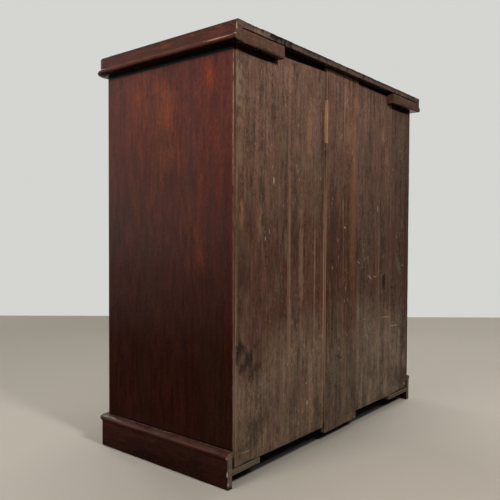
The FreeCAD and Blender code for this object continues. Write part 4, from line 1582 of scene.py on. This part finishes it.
@dataclass
class Studio:
    """Pale floor with painted light and shade, plain pale backdrop, soft lamps and the camera."""

    # Painted light and shade: the floor is darker near the chest, paler in a pool further off,
    # dimmer far away, and black under the chest.
    shaded_near_floor: Paint = 0xB6ADA0
    light_pool_floor: Paint = 0xCDC4B6
    dimmed_far_floor: Paint = 0xC2B9AC
    # Painted reflection: in glossy rays the floor shows this dark colour, so polish reflects a dim
    # floor.
    darkened_floor_reflection: Paint = 0x3A3630
    shadow_under_chest: Paint = 0x0F0D0B
    shadow_middle: Triple = (0.0, -0.004, 0.0)
    shadow_half: tuple[float, float] = (0.486, 0.222)
    light_pool_middle: Triple = (0.35, 0.45, 0.0)
    light_pool_from: tuple[float, float] = (0.4, 0.85)
    dimming_from: tuple[float, float] = (1.3, 2.4)
    floor_half: float = 14.0
    haze_colour: Paint = 0xBAB2A6
    pale_from: tuple[float, float] = (2.3, 4.2)
    wall_colour: Paint = 0xD5D5D2
    wall_distance: float = 2.32
    wall_half: float = 12.0
    ambient: float = 0.14
    camera_place: Triple = (1.49866, 1.11513, 0.59122)
    heading: float = math.radians(219.0)
    pitch: float = -0.0274
    roll: float = 0.0042
    lens: float = 42.23
    sensor: float = 36.0
    lamps: tuple[Lamp, ...] = (
        Lamp("side_lamp", (1.75, 0.0, 1.86), (0.478, 0.0, 0.7), 0.5, 15.5),
        Lamp("back_lamp", (0.62, 1.63, 1.58), (0.0, 0.239, 0.5), 0.3, 21.5),
        Lamp("front_lamp", (-0.9, -3.0, 2.2), (0.0, -0.2, 0.5), 1.6, 90.0),
        Lamp("far_side_lamp", (-2.6, 0.2, 2.4), (-0.478, 0.0, 0.5), 1.2, 32.0),
        Lamp("wall_bounce", (1.47, -1.81, 1.13), (0.0, 0.0, 1.13), 3.2, 6.7, 2.2),
    )

    def camera(self) -> None:
        """Sets up the camera where the chest is seen from behind, over its right side."""
        along, level = self.heading, math.cos(self.pitch)
        forward = Vector((math.cos(along) * level, math.sin(along) * level, math.sin(self.pitch)))
        right = forward.cross(Vector((0.0, 0.0, 1.0))).normalized()
        up = right.cross(forward)
        tilted_right = right * math.cos(self.roll) + up * math.sin(self.roll)
        tilted_up = up * math.cos(self.roll) - right * math.sin(self.roll)
        turn = Matrix((tilted_right, tilted_up, -forward)).transposed().to_4x4()
        data = bpy.data.cameras.new("camera")
        data.sensor_width = self.sensor
        data.lens = self.lens
        camera = bpy.data.objects.new("camera", data)
        camera.matrix_world = Matrix.Translation(self.camera_place) @ turn
        bpy.context.scene.collection.objects.link(camera)
        bpy.context.scene.camera = camera

    def shown(self, bench: Bench) -> Wire:
        """Whether a ray comes from the camera, a gloss or a glass.

        Args:
            bench: the bench of the material or world that asks.

        Returns:
            The mask.
        """
        rays = bench.make("LightPath")
        gloss = rays["Is Glossy Ray"].at_least(rays["Is Transmission Ray"])
        return rays["Is Camera Ray"].at_least(gloss)

    def world(self) -> None:
        """Makes a dim even surround that shows as the wall's colour."""
        world = bpy.data.worlds.new("surround")
        bench = Bench.cleared(world)
        colour = bench.mix(self.shown(bench), (self.ambient,) * 3, self.wall_colour)
        light = bench.make("Background", {"Color": colour, "Strength": 1.0})
        bench.make("OutputWorld", {"Surface": light["Background"]})
        bpy.context.scene.world = world

    def flat(self, name: str, size: float, place: Matrix, finish: str) -> Bench:
        """A square sheet of the stage with a new material.

        Args:
            name: the sheet's name.
            size: half its width.
            place: where it lies.
            finish: its material's name.

        Returns:
            The material's bench.
        """
        shape = bmesh.new()
        bmesh.ops.create_grid(shape, x_segments=1, y_segments=1, size=size, matrix=place)
        mesh = bpy.data.meshes.new(name)
        shape.to_mesh(mesh)
        shape.free()
        sheet = bpy.data.objects.new(name, mesh)
        bpy.context.scene.collection.objects.link(sheet)
        mesh.materials.append(bpy.data.materials.new(finish))
        return Bench.cleared(mesh.materials[0])

    def floor(self) -> None:
        """Lays the floor: a painted pool of light, painted shadow below the chest, dark
        reflections.
        """
        bench = self.flat("floor", self.floor_half, Matrix.Identity(4), "floor_paint")
        place = bench.place()
        # Painted light pool round a middle behind the chest, and painted shadow inside the chest's
        # footprint.
        away = (place - self.light_pool_middle).length()
        inside = (place - self.shadow_middle) * (*(1 / half for half in self.shadow_half), 0.0)
        inside = bench.calc("ABSOLUTE", inside).parts()
        edge = inside["X"].at_least(inside["Y"])
        rays = bench.make("LightPath")
        colour = bench.mix(away.span(*self.light_pool_from), self.shaded_near_floor, self.light_pool_floor).painted(
            (self.dimmed_far_floor, away.span(*self.dimming_from)),
            (self.shadow_under_chest, edge.span(1.0, 0.96, 0.0, 0.92)),
            (self.darkened_floor_reflection, rays["Is Glossy Ray"]))
        feeds = {"Base Color": colour, "Roughness": 0.8, "Specular IOR Level": 0.2}
        surface = bench.make("BsdfPrincipled", feeds)["BSDF"]
        haze = bench.make("Emission", {"Color": self.haze_colour, "Strength": 1.0})["Emission"]
        far = place.length().span(*self.pale_from) * rays["Is Camera Ray"]
        bench.make("OutputMaterial", {"Surface": bench.shader_mix(far, surface, haze)})

    def backdrop(self) -> None:
        """Stands the backdrop behind the chest."""
        away = Vector((math.cos(self.heading), math.sin(self.heading), 0.0))
        turn = away.to_track_quat("Z", "Y").to_matrix().to_4x4()
        stand = Matrix.Translation(away * self.wall_distance) @ turn
        bench = self.flat("backdrop", self.wall_half, stand, "backdrop_paper")
        matt = bench.make("BsdfDiffuse", {"Color": self.wall_colour})["BSDF"]
        glow = bench.make("Emission", {"Color": self.wall_colour, "Strength": 1.0})["Emission"]
        bench.make("OutputMaterial", {"Surface": bench.shader_mix(self.shown(bench), matt, glow)})

    def set_up(self) -> None:
        """Sets up the whole studio."""
        self.camera()
        self.world()
        self.floor()
        self.backdrop()
        for lamp in self.lamps:
            lamp.hang()
        bpy.context.scene.view_settings.view_transform = "Standard"


def main() -> None:
    """Builds the chest's sub-assemblies in order, then the studio."""
    logging.basicConfig(level=logging.INFO, format="%(name)s %(message)s")
    assemblies: list[SubAssembly] = [Carcass(), Top(), Back(), Plinth()]
    assemblies += [Drawer(name, 2.3 + 1.9 * count) for count, name in enumerate(DRAWERS)]
    for assembly in assemblies:
        assembly.report()
    Studio().set_up()


if __name__ == "__main__":
    main()
